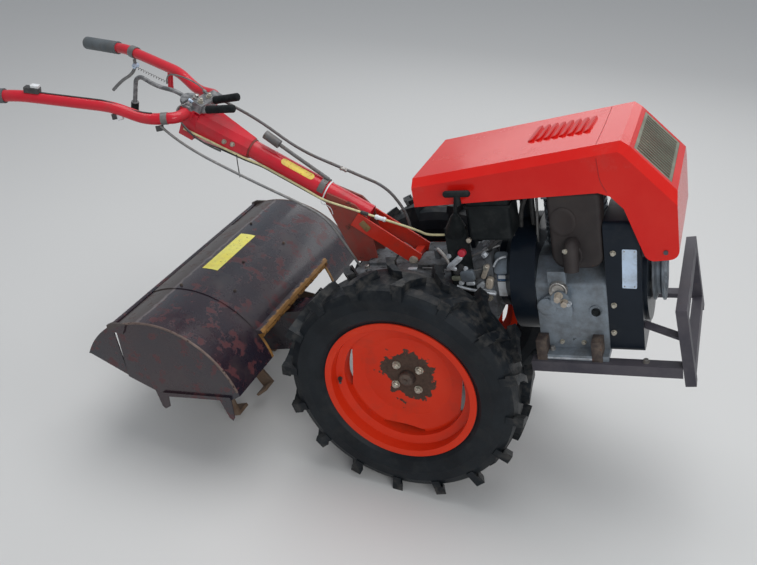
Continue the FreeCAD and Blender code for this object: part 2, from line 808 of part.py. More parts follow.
def make_grille():
    body = piece("grille")
    plate = sketch_on(body, ALONG_W, NOSE_OUT - bonnet_sheet, nose_slope)
    outline(plate, grille_edge(seat_gap))
    pad(body, plate, 2.5)
    slots = sketch_on(body, ALONG_W, NOSE_OUT - bonnet_sheet, nose_slope)
    low, high = NOSE_START + grille_border + 8, NOSE_START + nose_length - grille_border - 14
    half = bonnet_half - bonnet_bevel - grille_border - 8
    step = half * 2 / grille_slots
    for number in range(round(grille_slots.value)):
        left = step * number - half
        outline(slots, [(low, left + 2), (high, left + 2), (high, left + step - 2), (low, left + step - 2)])
    pocket(body, slots, 12, middle=True)


# Handlebar: column tube, sleeve, head, two handles with grips, and the supports on the gear housing.

BACKWARD = FreeCAD.Rotation(FreeCAD.Vector(0, 1, 0), -(90 - column_angle.value))
COLUMN_START = FreeCAD.Vector(-column_front.value, 0, column_low.value)


def on_column(along, above=0, left=0):
    """A point at a distance along the column's axis from its lower end, and above and left of that axis."""
    angle = math.radians(column_angle.value)
    forward = -float(along) * math.cos(angle) + float(above) * math.sin(angle)
    return COLUMN_START + FreeCAD.Vector(forward, float(left), float(along) * math.sin(angle) + float(above) * math.cos(angle))


def make_column():
    outside = Part.makeCylinder(column_radius.value, column_length.value)
    inside = Part.makeCylinder(column_radius.value - 3, column_length.value)
    shape_piece("column", outside.cut(inside))
    PIECES["column"].Placement = FreeCAD.Placement(COLUMN_START, BACKWARD)


def folded_frame(half_deep, half_wide, corner, height):
    """A closed wire of eight lines, a rectangle with its corners cut, across the column's axis."""
    quarter = [(half_deep, half_wide - corner), (half_deep - corner, half_wide)]
    half = quarter + [(-deep, wide) for deep, wide in reversed(quarter)]
    spots = half + [(-deep, -wide) for deep, wide in half]
    return Part.makePolygon([FreeCAD.Vector(deep, wide, height) for deep, wide in spots + spots[:1]])


def make_sleeve():
    """A sheet sleeve that grows from the round column to the flat head, folded along its eight edges."""
    fit, wall = (column_radius + seat_gap).value, sleeve_sheet.value
    length = sleeve_length.value
    low, low_corner = fit + wall, (fit + wall) * (2 - math.sqrt(2))
    deep, wide, corner = sleeve_deep.value / 2, sleeve_wide.value / 2, sleeve_corner.value
    outer = Part.makeLoft([folded_frame(low, low, low_corner, 0), folded_frame(deep, wide, corner, length)], True, True)
    inner = Part.makeLoft([folded_frame(low - wall, low - wall, low_corner - 0.59 * wall, 0),
                           folded_frame(deep - wall, wide - wall, corner - 0.59 * wall, length)], True, True)
    shape_piece("column_sleeve", outer.cut(inner))
    start = on_column(column_length.value - sleeve_grip.value)
    PIECES["column_sleeve"].Placement = FreeCAD.Placement(start, BACKWARD)


SLEEVE_END = column_length.value - sleeve_grip.value + sleeve_length.value
LEVER_BLOCK = (-4, 24)
HOOK_ROUTE = ((36, 40), (44, 100), (27, 160), (30, 228), (-60, 213))
HOOK_GRIP = ((-50, 214.7), (-93, 207.5))


def bar(points, radius, left=0):
    """A round bar in one plane of the column's frame, through points given above and along that frame."""
    return tube([(above, left, along) for above, along in points], radius, None, 25)


def make_head():
    half_wide, half_deep = sleeve_wide.value / 2, sleeve_deep.value / 2
    plate = Part.makeBox(2 * half_deep, 2 * half_wide, 42, FreeCAD.Vector(-half_deep, -half_wide, 0))
    cross = Part.makeCylinder(20, 2 * handle_root.value, FreeCAD.Vector(half_deep - 4, -handle_root.value, 32), FreeCAD.Vector(0, 1, 0))
    dial = Part.makeCylinder(40, 8, FreeCAD.Vector(half_deep - 1, 0, 41), FreeCAD.Vector(1, 0, 0))
    block = Part.makeBox(26, 106, LEVER_BLOCK[1] - LEVER_BLOCK[0], FreeCAD.Vector(half_deep + 6, -50, LEVER_BLOCK[0]))
    levers = [bar(((58, 12), (113, -67)), lever_grip, 8), bar(((52, 0), (101, -82)), lever_grip, -35),
              bar(HOOK_ROUTE, hook_radius), bar(HOOK_GRIP, 10)]
    shape = plate.multiFuse([cross, dial, block] + levers)
    shape_piece("handle_head", shape.removeSplitter())
    PIECES["handle_head"].Placement = FreeCAD.Placement(on_column(SLEEVE_END + seat_gap.value), BACKWARD)


def handle_route(side):
    root = on_column(SLEEVE_END + seat_gap.value + 32, sleeve_deep.value / 2 - 4)
    reach = handle_root.value + seat_gap.value
    spots = [(0, 0, 0), (0, 38, 0), (-74, 66, 10), (-144, 98, 60), (-359, 170, 129), (-536, 215, 155)]
    return [(root.x + along, side * (reach + out), root.z + up) for along, out, up in spots]


GRIP_ENDS = []


def make_handle(name, side):
    route = handle_route(side)
    pipe = tube(route, handle_radius, 2.5, 30)
    if side > 0:
        root = FreeCAD.Vector(*route[3]) * 0.8 + FreeCAD.Vector(*route[4]) * 0.2
        stub = Part.makeCylinder(8, 52, root - FreeCAD.Vector(0, 0, handle_radius.value - 2), FreeCAD.Vector(-0.3, 0, -1))
        pipe = pipe.fuse(stub).removeSplitter()
    shape_piece("handle_" + name, pipe)
    end = FreeCAD.Vector(*route[-1])
    aim = end - FreeCAD.Vector(*route[-2])
    aim.normalize()
    start = end - aim * grip_length.value
    bore = handle_radius.value + running_gap.value
    GRIP_ENDS[:] = [start, start + aim * (grip_length.value + 6)]
    grip = Part.makeCylinder(grip_radius.value, grip_length.value + 6, start, aim)
    shape_piece("grip_" + name, grip.cut(Part.makeCylinder(bore, grip_length.value + 0.3, start, aim)))


def make_gear_lever():
    """A rod with a round grip on a saddle that is clamped over the column."""
    saddle = Part.makeCylinder(column_radius.value + 5, 17, FreeCAD.Vector(0, 0, 138))
    saddle = saddle.cut(Part.makeCylinder((column_radius + seat_gap).value, 17, FreeCAD.Vector(0, 0, 138)))
    saddle = saddle.cut(Part.makeBox(60, 80, 17, FreeCAD.Vector(-60, -40, 138)))
    stem = bar(((31.5, 142), (47, 262), (58, 340)), 5)
    grip = bar(((52.4, 300), (59.1, 347)), 12)
    shape_piece("gear_lever", saddle.multiFuse([stem, grip]).removeSplitter())
    PIECES["gear_lever"].Placement = FreeCAD.Placement(COLUMN_START, BACKWARD)


def bend_radii(points, limit=1000):
    """The radius of each bend of a route, as path_wire makes it."""
    edges = path_wire(points, limit).Edges
    return [round(edge.Curve.Radius, 1) for edge in edges if edge.Curve.TypeId == "Part::GeomCircle"]


def make_runs():
    """The control rod on the left and the two cables that lie along the column's right-hand side."""
    top = SLEEVE_END + seat_gap.value + LEVER_BLOCK[0] - seat_gap.value
    deck = (gearbox_top + seat_gap).value
    rod = [on_column(top, 58, 50), on_column(395, 58, 50), (-308, 50, 540), (-75, 50, 424), (-30, 50, 345), (-30, 50, deck)]
    touch = (column_radius + seat_gap + cream_radius).value
    cream = [on_column(548, -12, -58), on_column(370, -19, -31), on_column(325, -0.6 * touch, -0.8 * touch),
             on_column(190, -0.6 * touch, -0.8 * touch), on_column(128, -11, -36), (25, -46, 344),
             (80, -clutch_near.value, 356), (CLUTCH_REAR - seat_gap.value, -clutch_near.value, 356)]
    touch = (column_radius + seat_gap + black_radius).value
    black = [on_column(545, -45, -22), on_column(368, -33, -13), on_column(325, -0.92 * touch, -0.392 * touch),
             on_column(40, -0.92 * touch, -0.392 * touch), (-150, -0.392 * touch, 300), (-150, -0.392 * touch, deck + 6.3)]
    for name, route, radius in (("control_rod", rod, rod_radius), ("cream_cable", cream, cream_radius),
                                ("black_cable", black, black_radius)):
        shape_piece(name, tube(route, radius))
        print(name, "bends", bend_radii(route), "for a radius of", radius.value)


CLUTCH_REAR = clutch_forward.value - 27
BONNET_CLEAR = bonnet_half.value + 16


def make_clutch_lever():
    """A lever with a T grip and a ribbed boot on a stand bolted to the gear housing's right-hand side."""
    near, high = clutch_near.value, clutch_stand.value
    wide = 2 * (near - (gearbox_width / 2 + seat_gap).value)
    stand = Part.makeBox(54, wide, high - 190, FreeCAD.Vector(CLUTCH_REAR, -near - wide / 2, 190))
    foot = FreeCAD.Vector(clutch_forward.value, -near, high - 6)
    neck = FreeCAD.Vector(clutch_forward.value + 26, -BONNET_CLEAR, high + 62)
    knob = neck + FreeCAD.Vector(12, -2, 52)
    lean = neck - foot
    rings = []
    for number in range(5):
        spot = foot + lean * (number / 5)
        rings.append(Part.makeCone(26 - 3.6 * number, 19 - 3.6 * number, 22, spot, lean))
    stem = tube([foot, neck, knob], 5)
    collar = Part.makeCone(9, 7, 26, knob - FreeCAD.Vector(0, 0, 26))
    barrel = Part.makeCylinder(8, 50, knob - FreeCAD.Vector(25, 0, 0), FreeCAD.Vector(1, 0, 0))
    ends = [Part.makeSphere(8, knob + FreeCAD.Vector(reach, 0, 0)) for reach in (-25, 25)]
    shape_piece("clutch_lever", stand.multiFuse(rings + [stem, collar, barrel] + ends).removeSplitter())


def make_support():
    body = piece("column_support")
    for side in (-1, 1):
        plate = sketch_on(body, ALONG_V, side * (column_radius + seat_gap + 3))
        top = gearbox_top + seat_gap
        outline(plate, [(-168, top), (-104, top), (-112, top + 130), (-140, top + 165), (-212, top + 200), (-222, top + 170)])
        pad(body, plate, 6, middle=True)
    web = sketch_on(body, ALONG_V)
    outline(web, [(-166, top), (-108, top), (-108, top + 6), (-166, top + 6)])
    pad(body, web, column_radius * 2 + 6, middle=True)


def make_brace():
    body = piece("brace")
    rest = gearbox_top + seat_gap
    for side in (-1, 1):
        bar = sketch_on(body, ALONG_V, side * (column_radius + 2 * seat_gap + 8.5))
        outline(bar, [(-10, rest), (18, rest), (26, rest + 22), (-132, rest + 142), (-160, rest + 110)])
        pad(body, bar, 5, middle=True)
    cross = sketch_on(body, ALONG_V)
    outline(cross, [(-8, rest), (14, rest), (14, rest + 16), (-8, rest + 16)])
    pad(body, cross, 2 * column_radius + 20, middle=True)


# Tiller: fixed hood, hinged rear flap, drive case and rotor, drawn about the rotor's own axis.

def band(sketch, radius, wall, start, end):
    """Part of a round shell about the origin, between two angles above the forward direction."""
    corners = []
    for reach, first, last in ((size(radius), start, end), (size(radius) - wall, end, start)):
        corners.append((reach * cosine(first), reach * sine(first)))
        corners.append((reach * cosine(last), reach * sine(last)))
    spots = [FreeCAD.Vector(a.value, b.value, 0) for a, b in corners]
    begin, finish = math.radians(size(start).value), math.radians(size(end).value)
    pair = []
    for reach in (size(radius), size(radius) - wall):
        circle = Part.Circle(FreeCAD.Vector(0, 0, 0), FreeCAD.Vector(0, 0, 1), reach.value)
        pair.append((sketch.addGeometry(Part.ArcOfCircle(circle, begin, finish), False), reach))
    back = sketch.addGeometry(Part.LineSegment(spots[1], spots[2]), False)
    front = sketch.addGeometry(Part.LineSegment(spots[3], spots[0]), False)
    (outer, _), (inner, _) = pair
    for one, spot, other, point in ((outer, 2, back, 1), (back, 2, inner, 2), (inner, 1, front, 1), (front, 2, outer, 1)):
        sketch.addConstraint(Sketcher.Constraint("Coincident", one, spot, other, point))
    ties = [("DistanceX", outer, 1, corners[0][0]), ("DistanceY", outer, 1, corners[0][1]),
            ("DistanceX", outer, 2, corners[1][0]), ("DistanceY", outer, 2, corners[1][1]),
            ("DistanceX", inner, 2, corners[2][0]), ("DistanceY", inner, 2, corners[2][1]),
            ("DistanceX", inner, 1, corners[3][0]), ("DistanceY", inner, 1, corners[3][1])]
    for kind, item, spot, value in ties:
        made = sketch.addConstraint(Sketcher.Constraint(kind, -1, 1, item, spot, value.value))
        if "sizes." in value.text:
            sketch.setExpression("Constraints[%d]" % made, value.text)
    for item, reach in pair:
        made = sketch.addConstraint(Sketcher.Constraint("Radius", item, reach.value))
        if "sizes." in reach.text:
            sketch.setExpression("Constraints[%d]" % made, reach.text)
    return sketch


def polar(radius, angle):
    return (size(radius) * cosine(angle), size(radius) * sine(angle))


def degrees_round(length):
    """The angle that a length takes along the hood's own curve."""
    return size(length) / hood_radius * 57.2958


HINGE = polar(hood_radius - 1, hood_hinge_angle + degrees_round(knuckle_radius + 5.6))
FLAP_START = hood_hinge_angle + degrees_round(2 * knuckle_radius + 4)
CHORD_REAR = polar(hood_radius - 1, hood_rear_angle - 0.5)
# Corners of the end plates' lower edge, as shares of the hood's radius forward of and above the rotor's axis.
PLATE_SPLIT, PLATE_REAR, PLATE_LOW = (-0.371, 0.309), (0.023, 0.094), (0.867, 0.102)
PLATE_TABS = (((-0.08, 0.16), (0.07, 0.13), (0.04, -0.05), (-0.03, -0.086), (-0.06, -0.05)),
              ((0.7, 0.13), (0.856, 0.13), (0.828, -0.13), (0.8, -0.17), (0.765, -0.13)))


def shares(spots):
    return [(hood_radius * across, hood_radius * up) for across, up in spots]


def cheek(body, side, corners, reach):
    """A flat side plate whose outer face lies at the given reach from the middle plane."""
    plate = sketch_on(body, ALONG_V, side * (reach - hood_sheet / 2))
    outline(plate, corners)
    pad(body, plate, hood_sheet, middle=True)


def arc_points(start, end, count):
    step = (size(end) - start) / count
    return [polar(hood_radius - hood_sheet, start + step * number) for number in range(count + 1)]


def make_hood():
    body = piece("tiller_hood")
    shell = sketch_on(body, ALONG_V)
    band(shell, hood_radius, hood_sheet, hood_front_angle, hood_hinge_angle)
    pad(body, shell, hood_seam * 2, middle=True)
    for side in (-1, 1):
        wing = sketch_on(body, ALONG_V, side * (hood_half + hood_seam - 10) / 2)
        band(wing, hood_radius - hood_sheet + 0.5, hood_sheet, hood_cheek_angle, hood_hinge_angle)
        pad(body, wing, hood_half - hood_seam + 10, middle=True)
        cheek(body, side, arc_points(hood_cheek_angle, hood_hinge_angle, 10) + shares((PLATE_SPLIT, PLATE_REAR, PLATE_LOW)),
              hood_half)
        for tab in PLATE_TABS:
            cheek(body, side, shares(tab), hood_half)
        rim = sketch_on(body, ALONG_V, side * (hood_half + 2))
        (rear, low), (front, _) = shares((PLATE_REAR, PLATE_LOW))
        outline(rim, [(rear, low + 1), (front, low + 3), (front, low + 13), (rear, low + 13)])
        pad(body, rim, 8, middle=True)
        ear = sketch_on(body, ALONG_V, side * (hood_half + 2.5))
        outline(ear, [polar(hood_radius - 30, 104), polar(hood_radius - 4, 98), polar(hood_radius + 9, 108),
                      polar(hood_radius + 9, 112), polar(hood_radius - 1, 113.5), polar(hood_radius - 11, 112.3)])
        pad(body, ear, 7, middle=True)
    lip = sketch_on(body, ALONG_V)
    outline(lip, [polar(hood_radius - hood_sheet, hood_front_angle), polar(hood_radius + 14, hood_front_angle - 1),
                  polar(hood_radius + 14, hood_front_angle + 1), polar(hood_radius - 0.5, hood_front_angle + 3)])
    pad(body, lip, hood_seam * 2, middle=True)
    pin = sketch_on(body, ALONG_V)
    ring(pin, HINGE[0], HINGE[1], hinge_pin)
    pad(body, pin, hood_half * 2 + 6, middle=True)
    moved("tiller_hood", -rotor_back)


def make_flap():
    flap_half = hood_half - 6
    body = piece("tiller_flap")
    shell = sketch_on(body, ALONG_V)
    start = FLAP_START
    band(shell, hood_radius, hood_sheet, start, hood_rear_angle)
    pad(body, shell, flap_half * 2, middle=True)
    split, level = shares((PLATE_SPLIT,))[0]
    step = (hood_rear_angle - start) / 4
    for side in (-1, 1):
        corners = [polar(hood_radius - 1, start + step * number) for number in range(4)]
        cheek(body, side, corners + [CHORD_REAR, (split - 5, level)], flap_half)
    knuckle = sketch_on(body, ALONG_V)
    ring(knuckle, HINGE[0], HINGE[1], knuckle_radius)
    pad(body, knuckle, flap_half * 2 - hood_sheet, middle=True)
    bore = sketch_on(body, ALONG_V)
    ring(bore, HINGE[0], HINGE[1], hinge_pin + running_gap)
    pocket(body, bore, hood_half * 3, middle=True)
    moved("tiller_flap", -rotor_back)


def make_case():
    body = piece("tiller_case")
    arm = sketch_on(body, ALONG_V)
    nose = rotor_back - gearbox_rear - 12 - seat_gap
    outline(arm, [(nose, -14), (nose, 114), (nose - 26, 114), (nose - 90, 98), (50, 62), (0, 66), (-46, 46), (-66, 0),
                  (-46, -46), (0, -66), (50, -60), (nose - 90, -30), (nose - 26, -14)])
    pad(body, arm, case_half * 2, middle=True)
    flange = sketch_on(body, ALONG_U, nose - 12)
    ring(flange, 0, 50, 68)
    pad(body, flange, 12)
    for side in (-1, 1):
        web = sketch_on(body, ALONG_V, side * 32)
        under = hood_radius - hood_sheet - seat_gap
        outline(web, [(50, 50), (200, 66), polar(under, 52), polar(under, 64), polar(under, 76)])
        pad(body, web, 6, middle=True)
    bore = sketch_on(body, ALONG_V)
    ring(bore, 0, 0, rotor_shaft + running_gap)
    pocket(body, bore, case_half * 3, middle=True)
    moved("tiller_case", -rotor_back)


def make_rotor():
    body = piece("rotor")
    shaft = sketch_on(body, ALONG_V)
    ring(shaft, 0, 0, rotor_shaft)
    pad(body, shaft, rotor_half * 2, middle=True)
    blades = []
    for number, (place, lean) in enumerate(((-1, 1), (-0.43, -1), (0.43, 1), (1, -1))):
        middle = size(rotor_half - 4) * place
        disc = sketch_on(body, ALONG_V, middle)
        ring(disc, 0, 0, flange_radius)
        pad(body, disc, 8, middle=True)
        phase = number * 360 / tine_rows
        blade = sketch_on(body, ALONG_V, middle)
        outline(blade, [turned_point(spot, phase) for spot in TINE_SIDE])
        blades.append(pad(body, blade, tine_thick, middle=True))
        foot = sketch_on(body, ALONG_V, middle + tine_foot * lean / 2)
        outline(foot, [turned_point(spot, phase) for spot in TINE_FOOT])
        blades.append(pad(body, foot, tine_foot, middle=True))
        repeated(body, blades, "Y_Axis", 4)
        blades = []
    stance = FreeCAD.Rotation(FreeCAD.Vector(0, 1, 0), PITCH - TINE_STEP)
    body.Placement = FreeCAD.Placement(FreeCAD.Vector(-rotor_back.value, 0, 0), stance)


def make_tank():
    body = piece("fuel_tank")
    left = 62
    front = bell_front - 10
    box = sketch_on(body, ALONG_W, tank_low)
    outline(box, [(front - tank_length, left - tank_width / 2), (front, left - tank_width / 2),
                  (front, left + tank_width / 2), (front - tank_length, left + tank_width / 2)])
    pad(body, box, tank_tall)
    rounded(body, 20, lambda edge: True)
    post = sketch_on(body, ALONG_W, crank_height + bell_radius + seat_gap)
    outline(post, [(bell_rear + 10, -8), (bell_rear + 34, -8), (bell_rear + 34, 8), (bell_rear + 10, 8)])
    pad(body, post, tank_low - crank_height - bell_radius + 10)
    rear_post = sketch_on(body, ALONG_W, gearbox_top + seat_gap)
    rear = front - tank_length
    outline(rear_post, [(rear + 1, left - 15), (rear + 13, left - 15), (rear + 13, left + 15), (rear + 1, left + 15)])
    pad(body, rear_post, tank_low - gearbox_top + 10)


def make_intake():
    start = filter_rear + filter_long + 3 + seat_gap
    run = cylinder_middle - head_half - seat_gap - start
    place = FreeCAD.Vector(start.value, -head_half.value + 18, (crankcase_top + seat_gap + port_height).value)
    shape_piece("intake_pipe", Part.makeCylinder(13, run.value, place, FreeCAD.Vector(1, 0, 0)))


TINE_SIDE = [(-tine_width / 2, flange_radius - 14), (tine_width / 2, flange_radius - 14), (tine_width / 2 + 6, tine_radius * 0.7),
             (tine_width / 2 + 22, tine_radius - 8), (0, tine_radius), (-tine_width / 2 + 4, tine_radius * 0.7)]
TINE_FOOT = [(0, tine_radius - 9), (tine_width / 2 + 22, tine_radius - 16), (tine_width / 2 + 22, tine_radius - 8),
             (0, tine_radius)]


def turned_point(spot, angle):
    across, up = size(spot[0]), size(spot[1])
    return (across * cosine(angle) + up * sine(angle), up * cosine(angle) - across * sine(angle))


for side in ("left", "right"):
    sign = 1 if side == "left" else -1
    make_rail("rail_" + side, sign)
    make_handle(side, sign)
for make in (make_gearbox, make_bell, make_crankcase, make_cylinder, make_shroud, make_pulley, make_muffler, make_exhaust,
             make_filter, make_bumper, make_stay, make_bonnet, make_grille, make_column, make_sleeve, make_head,
             make_support, make_brace, make_gear_lever, make_runs, make_clutch_lever, make_bonnet_hinge, make_tank, make_intake, make_hood, make_flap, make_case, make_rotor):
    make()

document.recompute()

# The parked stance: pitched about the axle, the axle one tyre radius up, and the box of all pieces centred on the origin.
AXLE = FreeCAD.Vector(0, 0, tyre_radius.value)
STANCE = FreeCAD.Placement(AXLE, FreeCAD.Rotation(FreeCAD.Vector(0, 1, 0), -PITCH))
for label, made in PIECES.items():
    if label.startswith(("tyre_", "rim_", "hub_")):
        made.Placement = FreeCAD.Placement(AXLE, FreeCAD.Rotation()).multiply(made.Placement)
    else:
        made.Placement = STANCE.multiply(made.Placement)
document.recompute()
reach = FreeCAD.BoundBox()
for made in PIECES.values():
    reach.add(made.Shape.optimalBoundingBox(False, False))
shift = FreeCAD.Vector(-(reach.XMin + reach.XMax) / 2, 0, 0)
for made in PIECES.values():
    made.Placement = FreeCAD.Placement(shift, FreeCAD.Rotation()).multiply(made.Placement)
document.recompute()

for item in document.Objects:
    if "Invalid" in item.State or "Error" in item.State:
        raise RuntimeError("%s was not built" % item.Label)
os.makedirs("parts", exist_ok=True)
for label, made in PIECES.items():
    if made.Shape.isNull() or not made.Shape.isValid() or len(made.Shape.Solids) != 1:
        raise RuntimeError("%s is not one valid solid" % label)
    made.Shape.exportStep("parts/%s.step" % label)
print("pitch %.4f degrees, axle %.3f mm forward of the origin, %d pieces" % (PITCH, shift.x, len(PIECES)))
print("grip from", [round(number, 2) for number in GRIP_ENDS[0]], "to", [round(number, 2) for number in GRIP_ENDS[1]])
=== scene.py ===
# %% [markdown]
# # A walking tractor, dressed in Blender
# The solids of the machine come in as a fixed frame: they keep their places, and this lesson gives them their finish
# and adds the small things. The camera comes first, because every later choice is judged through it.

# %% Load the frame
import math
import bmesh
import bpy
from mathutils import Matrix, Vector
from mathutils.bvhtree import BVHTree


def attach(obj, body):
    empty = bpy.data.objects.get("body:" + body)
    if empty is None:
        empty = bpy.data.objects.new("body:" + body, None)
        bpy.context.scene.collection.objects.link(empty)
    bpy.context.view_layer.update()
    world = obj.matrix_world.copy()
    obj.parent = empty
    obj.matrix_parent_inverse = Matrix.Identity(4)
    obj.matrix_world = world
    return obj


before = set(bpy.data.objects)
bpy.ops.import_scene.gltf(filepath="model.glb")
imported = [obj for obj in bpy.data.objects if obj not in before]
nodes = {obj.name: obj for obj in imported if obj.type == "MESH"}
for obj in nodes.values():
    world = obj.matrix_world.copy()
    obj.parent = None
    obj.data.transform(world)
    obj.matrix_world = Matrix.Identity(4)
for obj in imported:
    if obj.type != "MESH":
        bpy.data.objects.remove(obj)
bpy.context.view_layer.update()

# %% [markdown]
# ## Camera
# The machine is seen from its right-hand side, from a little in front and well above. The lens and the place were
# found from the wheel's circles and the bonnet's straight edges, so the solids fall on the same pixels as the real
# pieces.

# %% Camera
LENS_MM, SENSOR_MM = 39.64, 36
CAMERA_PLACE = (0.8270, -1.8459, 1.6498)
CAMERA_DEGREES = (58.808, -0.310, 21.080)

camera_data = bpy.data.cameras.new("camera")
camera_data.lens = LENS_MM
camera_data.sensor_width = SENSOR_MM
camera = bpy.data.objects.new("camera", camera_data)
bpy.context.scene.collection.objects.link(camera)
camera.location = CAMERA_PLACE
camera.rotation_euler = [math.radians(angle) for angle in CAMERA_DEGREES]
bpy.context.scene.camera = camera
bpy.context.scene.view_settings.view_transform = "Standard"
print("camera at", CAMERA_PLACE)

# %% [markdown]
# ## Floor and light
# A plain pale floor keeps the shadow under the tyres. Two big soft lamps and a pale world light the paint evenly,
# like an overcast day in a studio, and a weak low lamp on the far side draws a pale edge along what faces it. A sun
# would give the real machine's glare, but it would also hide the colours, so it was left out.

# %% Floor
def plain_material(name, colour, roughness):
    material = bpy.data.materials.new(name)
    material.use_nodes = True
    shader = material.node_tree.nodes["Principled BSDF"]
    shader.inputs["Base Color"].default_value = (*colour, 1)
    shader.inputs["Roughness"].default_value = roughness
    return material


FLOOR_SIZE = 14
bpy.ops.object.select_all(action="DESELECT")
bpy.ops.mesh.primitive_plane_add(size=FLOOR_SIZE, location=(0, 2, 0))
floor = bpy.context.object
floor.name = "floor"
floor.data.materials.append(plain_material("pale_floor", (0.62, 0.62, 0.61), 0.8))
bpy.ops.object.transform_apply(location=True)
print("floor", tuple(round(side, 2) for side in floor.dimensions))

# %% Lamps and world
LAMPS = [
    # name, place, what it is aimed at, width and height, power
    ("sky_lamp", (0.3, 0.6, 4.2), (0, 0, 0.3), (3.6, 3.0), 105),
    ("side_lamp", (2.6, -3.2, 2.4), (0, 0, 0.4), (2.2, 1.8), 62),
    ("rim_lamp", (0.2, 3.2, 1.9), (0.2, 0, 0.6), (3.0, 1.0), 12),
]
for name, place, aim, size, power in LAMPS:
    lamp = bpy.data.lights.new(name, "AREA")
    lamp.shape = "RECTANGLE"
    lamp.size, lamp.size_y = size
    lamp.energy = power
    holder = bpy.data.objects.new(name, lamp)
    bpy.context.scene.collection.objects.link(holder)
    holder.location = place
    holder.rotation_euler = (Vector(aim) - Vector(place)).to_track_quat("-Z", "Y").to_euler()
world = bpy.data.worlds.new("studio")
bpy.context.scene.world = world
world.use_nodes = True
background = world.node_tree.nodes["Background"]
background.inputs["Color"].default_value = (0.86, 0.90, 0.96, 1)
background.inputs["Strength"].default_value = 0.46
print("lamps", len(LAMPS), "and a world")

# %% [markdown]
# ## Finishes: shared node groups
# Sheet metal, castings and rubber all show the same few effects: broad fading, blotches where paint has gone, and
# fine grain. Pictures of worn paint could be wrapped on, but they would carry someone's real machine with them. So
# each effect is made of noise, in one node group with named inputs that is placed in every material with its own
# values.

# %% Helpers for node trees
def add_node(tree, kind, links=(), **values):
    """Adds a node, sets its named properties and inputs, and links what feeds it."""
    node = tree.nodes.new(kind)
    for label, value in values.items():
        setattr(node, label, value)
    for label, source in links:
        if isinstance(source, bpy.types.NodeSocket):
            tree.links.new(source, node.inputs[label])
        else:
            node.inputs[label].default_value = source
    return node


def maths(tree, operation, *values):
    """The result of one sum on numbers or sockets."""
    return add_node(tree, "ShaderNodeMath", enumerate(values), operation=operation).outputs[0]


def vector_maths(tree, operation, *values):
    """The result of one sum on vectors: a number for a length or a dot product."""
    node = add_node(tree, "ShaderNodeVectorMath", enumerate(values), operation=operation)
    return node.outputs["Value" if operation in ("LENGTH", "DOT_PRODUCT") else "Vector"]


def remap(tree, value, low, high):
    """0 at the low end, 1 at the high end, and held there beyond them."""
    return add_node(tree, "ShaderNodeMapRange", [("Value", value), ("From Min", low), ("From Max", high)]).outputs[0]


def noise(tree, place, scale, detail, rough=0.5):
    return add_node(tree, "ShaderNodeTexNoise", [("Vector", place), ("Scale", scale), ("Detail", detail),
                                                 ("Roughness", rough)]).outputs["Fac"]


def object_place(tree):
    return add_node(tree, "ShaderNodeTexCoord").outputs["Object"]


print("node helpers ready")

# %% Masks and mixed colours
def patch_mask(tree, place, scale, level, sharp, detail=6.0, rough=0.6):
    """A mask of irregular patches: noise pushed past a level, with a soft or sharp border."""
    low, high = (maths(tree, way, level, sharp) for way in ("SUBTRACT", "ADD"))
    return remap(tree, noise(tree, place, scale, detail, rough), low, high)


def blend_colour(tree, factor, first, second):
    mix = tree.nodes.new("ShaderNodeMix")
    mix.data_type = "RGBA"
    for socket, source in ((mix.inputs[0], factor), (mix.inputs[6], first), (mix.inputs[7], second)):
        if isinstance(source, bpy.types.NodeSocket):
            tree.links.new(source, socket)
        else:
            socket.default_value = source
    return mix.outputs[2]


print("masks ready")

# %% The worn-coat group
def make_coat_group():
    """Colour, roughness and height of a coat that has faded, gathered dust and worn through in places."""
    group = bpy.data.node_groups.new("worn_coat", "ShaderNodeTree")
    for label, value in (("Coat", (0.5, 0.5, 0.5, 1)), ("Faded", (0.6, 0.6, 0.6, 1)), ("Bare", (0.1, 0.06, 0.04, 1)),
                         ("Dust", (0.3, 0.27, 0.23, 1)), ("Fade Level", 0.5), ("Bare Level", 0.75),
                         ("Dust Level", 0.6), ("Size", 1.0), ("Gloss", 0.35)):
        kind = "NodeSocketFloat" if isinstance(value, float) else "NodeSocketColor"
        group.interface.new_socket(name=label, in_out="INPUT", socket_type=kind).default_value = value
    for label, kind in (("Color", "NodeSocketColor"), ("Roughness", "NodeSocketFloat"), ("Height", "NodeSocketFloat")):
        group.interface.new_socket(name=label, in_out="OUTPUT", socket_type=kind)
    given = group.nodes.new("NodeGroupInput").outputs
    results = group.nodes.new("NodeGroupOutput").inputs
    spot = add_node(group, "ShaderNodeVectorMath", [(0, object_place(group)), ("Scale", given["Size"])],
                    operation="SCALE").outputs[0]
    fade = patch_mask(group, spot, 3.2, given["Fade Level"], 0.16, 5.0, 0.62)
    bare = patch_mask(group, spot, 17.0, given["Bare Level"], 0.018, 9.0, 0.68)
    dust = patch_mask(group, spot, 7.5, given["Dust Level"], 0.20, 8.0, 0.7)
    grain = noise(group, spot, 420.0, 3.0)
    colour = blend_colour(group, fade, given["Coat"], given["Faded"])
    colour = blend_colour(group, dust, colour, given["Dust"])
    group.links.new(blend_colour(group, bare, colour, given["Bare"]), results["Color"])
    rough = maths(group, "MULTIPLY_ADD", dust, 0.30, given["Gloss"])
    worn = maths(group, "MULTIPLY_ADD", bare, 0.42, rough)
    worn.node.use_clamp = True
    group.links.new(worn, results["Roughness"])
    group.links.new(maths(group, "MULTIPLY_ADD", bare, -0.6, grain), results["Height"])
    return group


WORN_COAT = make_coat_group()
print("group", WORN_COAT.name, "with", len(WORN_COAT.nodes), "nodes")

